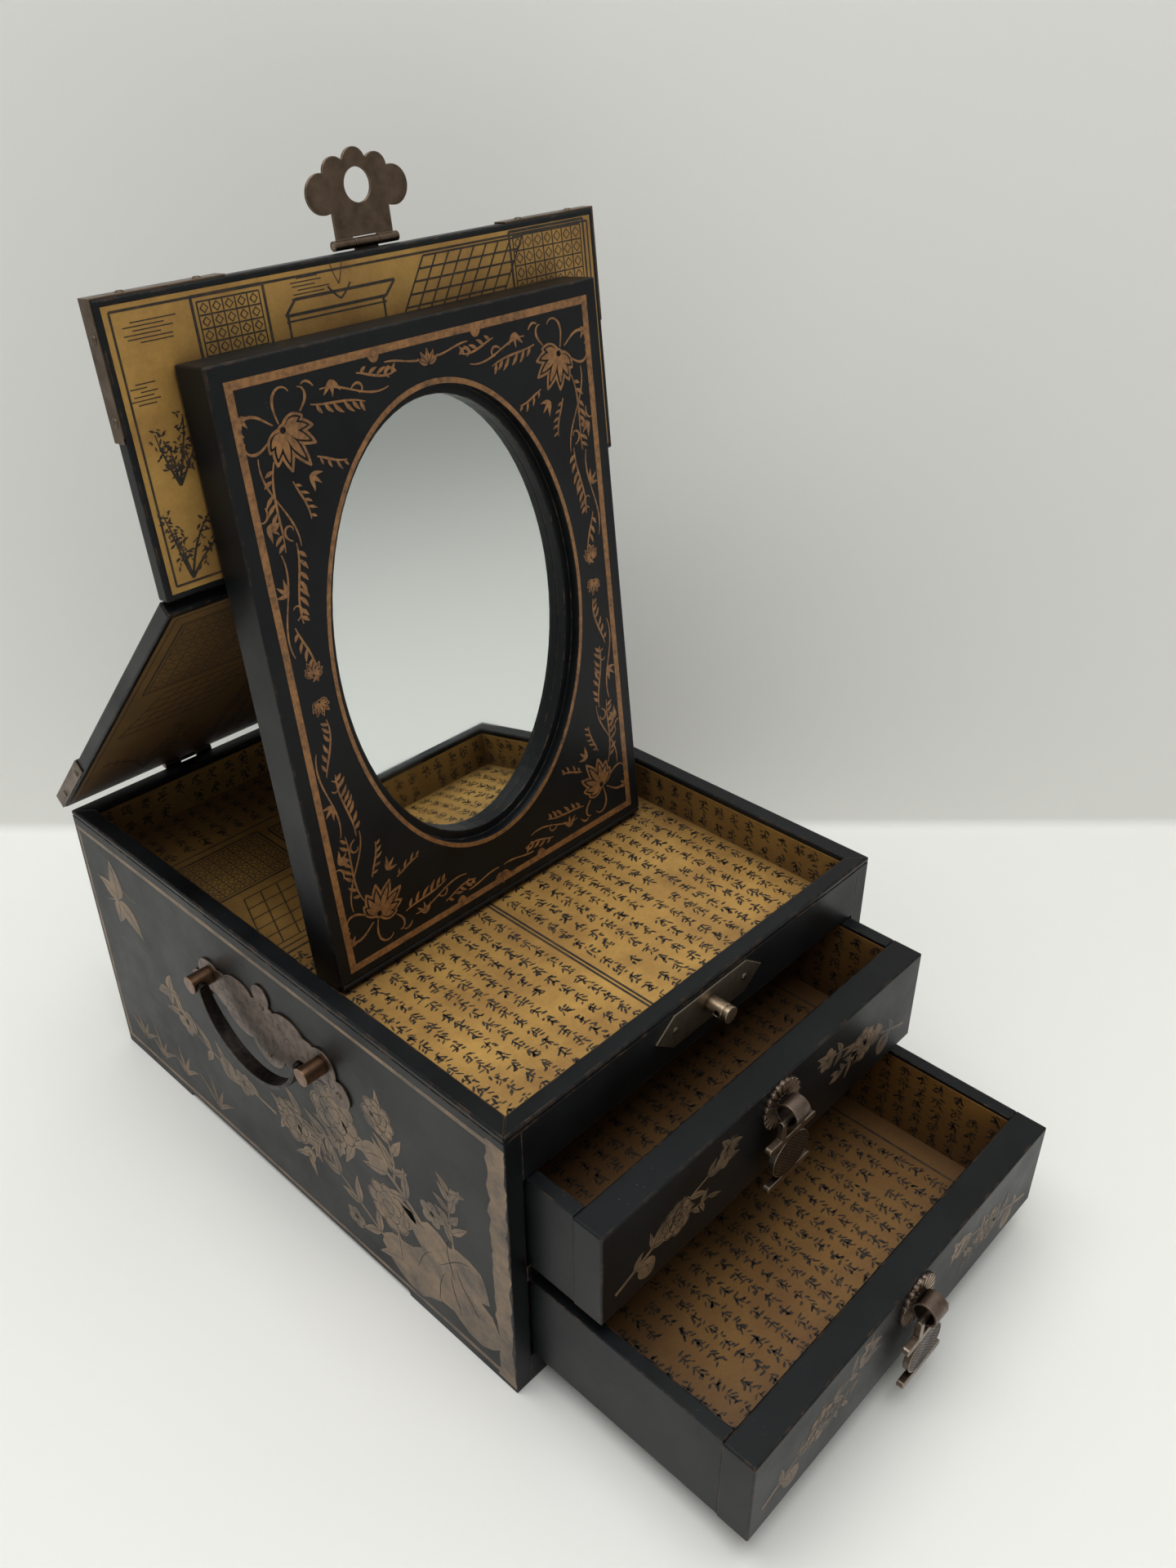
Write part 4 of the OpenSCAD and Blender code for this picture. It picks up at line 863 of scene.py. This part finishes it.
def table(work, u, v, w, h):
    """A low table in slanted view, with a vase and a spray on it."""
    lattice(work, (u, v + 0.62 * h), (w, 0), (0.3 * h, 0.3 * h), 1, 1, 0.9)
    for x in (0.02, 0.97):
        work.stroke(vine((u + x * w, v + 0.6 * h), 268, 0.6 * h, 1.4, -2.6, 6), [1.0, 0.7, 1.1])
    work.stroke([(u, v + 0.5 * h), (u + w, v + 0.5 * h)], [0.5, 0.5])
    base = (u + 0.55 * w, v + 0.76 * h)
    for s in (-1, 1):
        work.stroke(vine(base, 90 - s * 60, 0.42 * h, s * 24 / h * 3, s * 2, 8), [0.6, 0.6])
        work.stroke(vine((base[0], base[1] + 0.3 * h), 90 - s * 26, 0.5 * h, 0, s * 5, 6),
                    [0.4, 0.25])


def shrub(work, u, v, size, dice):
    """A small tree: a forked stem with dabs of leaf round every fork."""
    for heading, length in ((78, 1.0), (112, 0.8), (50, 0.7), (96, 0.6)):
        path = vine((u, v), heading, length * size, dice.uniform(-2, 2), dice.uniform(-3, 3), 10)
        work.stroke(path, [0.9, 0.6, 0.3])
        for at in path[3:]:
            for k in range(4):
                spot = (at[0] + dice.uniform(-2, 2), at[1] + dice.uniform(-1.5, 1.5))
                way, dab = dice.uniform(0, 360), dice.uniform(1.2, 2.2)
                work.stroke(vine(spot, way, dab, 0, 0, 2), [0.12, 0.4 * dab, 0.1])


def print_piece(node, body, seed, fields, lines):
    """Prints ruled lines on a sheet, and sprigs on its fields, which are each given as
    (corner, across, up, width, height)."""
    sheet = bmesh.new()
    for k, field in enumerate(fields):
        print_field(sheet, *field, seed + k)
    mesh = bpy.data.meshes.new(f"{node}_print")
    lines.mesh_into(mesh)
    sheet.from_mesh(mesh)
    mesh.clear_geometry()
    sheet.to_mesh(mesh)
    sheet.free()
    mesh.materials.append(block_ink)
    mesh.polygons.foreach_set("material_index", [0] * len(mesh.polygons))
    piece = link_piece(f"{node}_print", mesh)
    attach(piece, body)


def tray_print(node, body, seed, fields, draw):
    """Fields are (low u, low v, high u, high v) on the floor in mm; the walls are filled."""
    low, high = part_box(node)
    size = (high - low) * 1000
    t = PAPER / 1000
    near, far = low + Vector((t, t, t)), high - Vector((t, t, 0))
    placed = [(near + metres(u0, v0, 0), RIGHT, BACK, u1 - u0, v1 - v0)
              for u0, v0, u1, v1 in fields]
    for x, y, along, run in ((near.x, near.y, BACK, size.y), (far.x, far.y, -BACK, size.y),
                             (far.x, near.y, -RIGHT, size.x), (near.x, far.y, RIGHT, size.x)):
        placed.append((Vector((x, y, near.z)) + along * t, along, UP, run - 4 * PAPER,
                       size.z - PAPER))
    work = Brushwork(near, RIGHT, BACK, 0.03)
    draw(work, size - 2 * PAPER * (RIGHT + BACK))
    print_piece(node, body, seed, placed, work)


def draw_tray(work, sheet):
    """Ruled lines between the fields, with tiles, two screens and a shrub at the back left."""
    dice = random.Random(31)
    for u in (79.2, 80.9):
        work.stroke([(u, 1), (u, 124)], [1.0, 1.0])
    work.stroke([(1, 126.6), (sheet.x - 1, 126.6)], [1.0, 1.0])
    lattice(work, (3, 130), (70, 0), (0, 74), 1, 1, 0.7)
    lattice(work, (6, 133), (52, 0), (12, 32), 5, 7)
    screen(work, (8, 170), 40, 30, 8)
    screen(work, (52, 172), 18, 26, 3)
    shrub(work, 66, 134, 17, dice)


def draw_drawer(work, sheet):
    """Three ruled lines from the front to the back."""
    for u in (11.2, 12.8, sheet.x - 9):
        work.stroke([(u, 1), (u, sheet.y - 1)], [0.95, 0.95])


tray_print("tray_lining", "case", 20,
           [(1.5, 1.5, 77, 125), (83, 1.5, 174.5, 125), (76, 129, 174.5, 235),
            (1.5, 206, 74, 235)], draw_tray)
tray_print("upper_drawer_lining", "upper_drawer", 40, [(14.5, 1.5, 152, 218)], draw_drawer)
tray_print("lower_drawer_lining", "lower_drawer", 60, [(14.5, 1.5, 152, 218)], draw_drawer)

# The front leaf's sheet lies behind the mirror frame; only its top and its left side show.
# Its low left corner lies this far, in metres, above the mirror's foot, behind it and aside.
sheet_up, sheet_behind, sheet_half = 0.1483, 0.01634, 0.0948
front_low = mirror_foot + mirror_up * sheet_up - mirror_out * sheet_behind - RIGHT * sheet_half
work = Brushwork(front_low, RIGHT, mirror_up, 0.03)
dice = random.Random(77)
drift(work, 4, 70, 22, dice)
drift(work, 60, 73, 18, dice)
screen(work, (27, 61), 24, 18, 5)
table(work, 57, 60, 38, 14)
lattice(work, (100, 60), (44, 0), (12, 18), 5, 8, 0.6)
screen(work, (150, 58), 36, 22, 7)
shrub(work, 8, 3, 26, dice)
shrub(work, 11, 30, 20, dice)
drift(work, 2, 54, 14, dice)
lattice(work, (2, 2), (186, 0), (0, 77), 1, 1, 0.7)
print_piece("front_leaf_lining", "front_leaf", 90, [], work)

# The rear leaf's sheet faces down over the tray. The leaf with its paper is this thick, and
# the sheet ends this far down from the fold, in metres.
leaf_and_paper, sheet_down = 0.0054, 0.1648
rear_low = fold_axis + rear_out * leaf_and_paper - rear_up * sheet_down - RIGHT * sheet_half
work = Brushwork(rear_low, RIGHT, rear_up, 0.03)
lattice(work, (2, 2), (185, 0), (0, 158), 1, 1, 0.5)
screen(work, (6, 100), 44, 54, 6)
lattice(work, (6, 62), (40, 0), (10, 32), 5, 6, 0.6)
shrub(work, 30, 8, 44, dice)
sprigs_low = rear_low + RIGHT * 0.056 + rear_up * 0.004   # the sprigs fill the sheet's right part
print_piece("rear_leaf_lining", "rear_leaf", 95, [(sprigs_low, RIGHT, rear_up, 130, 152)], work)


# ---- Etching on the mounts ----
# Thin cloud scrolls are bitten into the handle plates, and the drops are cut with a fine
# crosswise hatching inside a plain rim.

# Acid-bitten grooves filled with black: they show as thin dark lines without sparkle.
etched_line, tree, shader, place = finish("blackened_etched_line")
wire(tree, shader, {"Base Color": tint("#2a2320"), "Metallic": 0.7, "Roughness": 0.5})
plate_out, plate_mid, plate_up = 95.8, 121.75, 93   # the plate's outer face and middle in mm
for name, side in (("left", -1), ("right", 1)):
    work = Brushwork(metres(side * plate_out, plate_mid, plate_up), BACK * side, UP, 0.02)
    for s in (-1, 1):
        work.hand = (s, 1)
        for scroll in (
                ((3, 3), 60, 9, -14, -70), ((5, -12), 20, 10, 14, 60),
                ((12, -4), 100, 9, -16, -60), ((14, -12), -10, 9, 18, 70),
                ((21, -6), 80, 8, -18, -70), ((27, 0), 200, 8, 20, 60),
                ((2, -20), 150, 7, -20, -70), ((10, 3), 190, 7, 20, 80),
                ((37, -5), 250, 8, 12, 60)):
            work.stroke(vine(*scroll, 14), [0.16, 0.3, 0.12])
    work.done(f"{name}_handle_etching", "case", "bronze_mounts", (etched_line, etched_line))

# The pull plates are fluted like a fan; the crests of the flutes are burnished by use and
# glint paler than the rest.
burnished, tree, shader, place = finish("burnished_brass_crests")
wire(tree, shader, {"Base Color": tint("#b39a78"), "Metallic": 1, "Roughness": 0.34})
crest = 0.0014   # metres from the drawer front to the crests
for body in ("upper", "lower"):
    low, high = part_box(f"{body}_pull_plate")
    middle = Vector(((low.x + high.x) / 2, high.y - crest, (low.z + high.z) / 2))
    work = Brushwork(middle, RIGHT, UP, 0.02)
    for k in range(20):
        work.stroke([away((0, 0), 18 * k, r) for r in (4.4, 6.8, 9.2)], [0.25, 0.8, 1.3])
    work.done(f"{body}_fan_crests", f"{body}_drawer", "bronze_mounts", (burnished, burnished))

# Hatching: lines a pitch apart both ways, cut off by an oval, in mm. The drop's front face
# has its middle this far from the pivot.
half_w, half_h, pitch, from_pivot = 9.1, 7.85, 1.5, metres(0, -1.2, -17.45)
for joint in frame["joints"]:
    if joint["name"].endswith("pull_swing"):
        middle = axis[joint["name"]] + from_pivot
        work = Brushwork(middle, RIGHT, UP, 0.02)
        for slope in (-1, 1):
            for k in range(-11, 12):
                c = pitch * k
                a, b = 1 / half_w ** 2 + 1 / half_h ** 2, 2 * slope * c / half_h ** 2
                inside = b * b - 4 * a * (c * c / half_h ** 2 - 1)
                if inside > 0.002:
                    ends = [(-b + q * math.sqrt(inside)) / (2 * a) for q in (-1, 1)]
                    work.stroke([(u, slope * u + c) for u in ends], [0.28, 0.28])
        work.lift = 0.05
        work.stroke([away((0, 0), 15 * k, 9.35, 0.865) for k in range(25)], [0.3, 0.3])
        work.done(f"{joint['child']}_hatching", joint["child"], "brass_fittings",
                  (etched_line, etched_line))
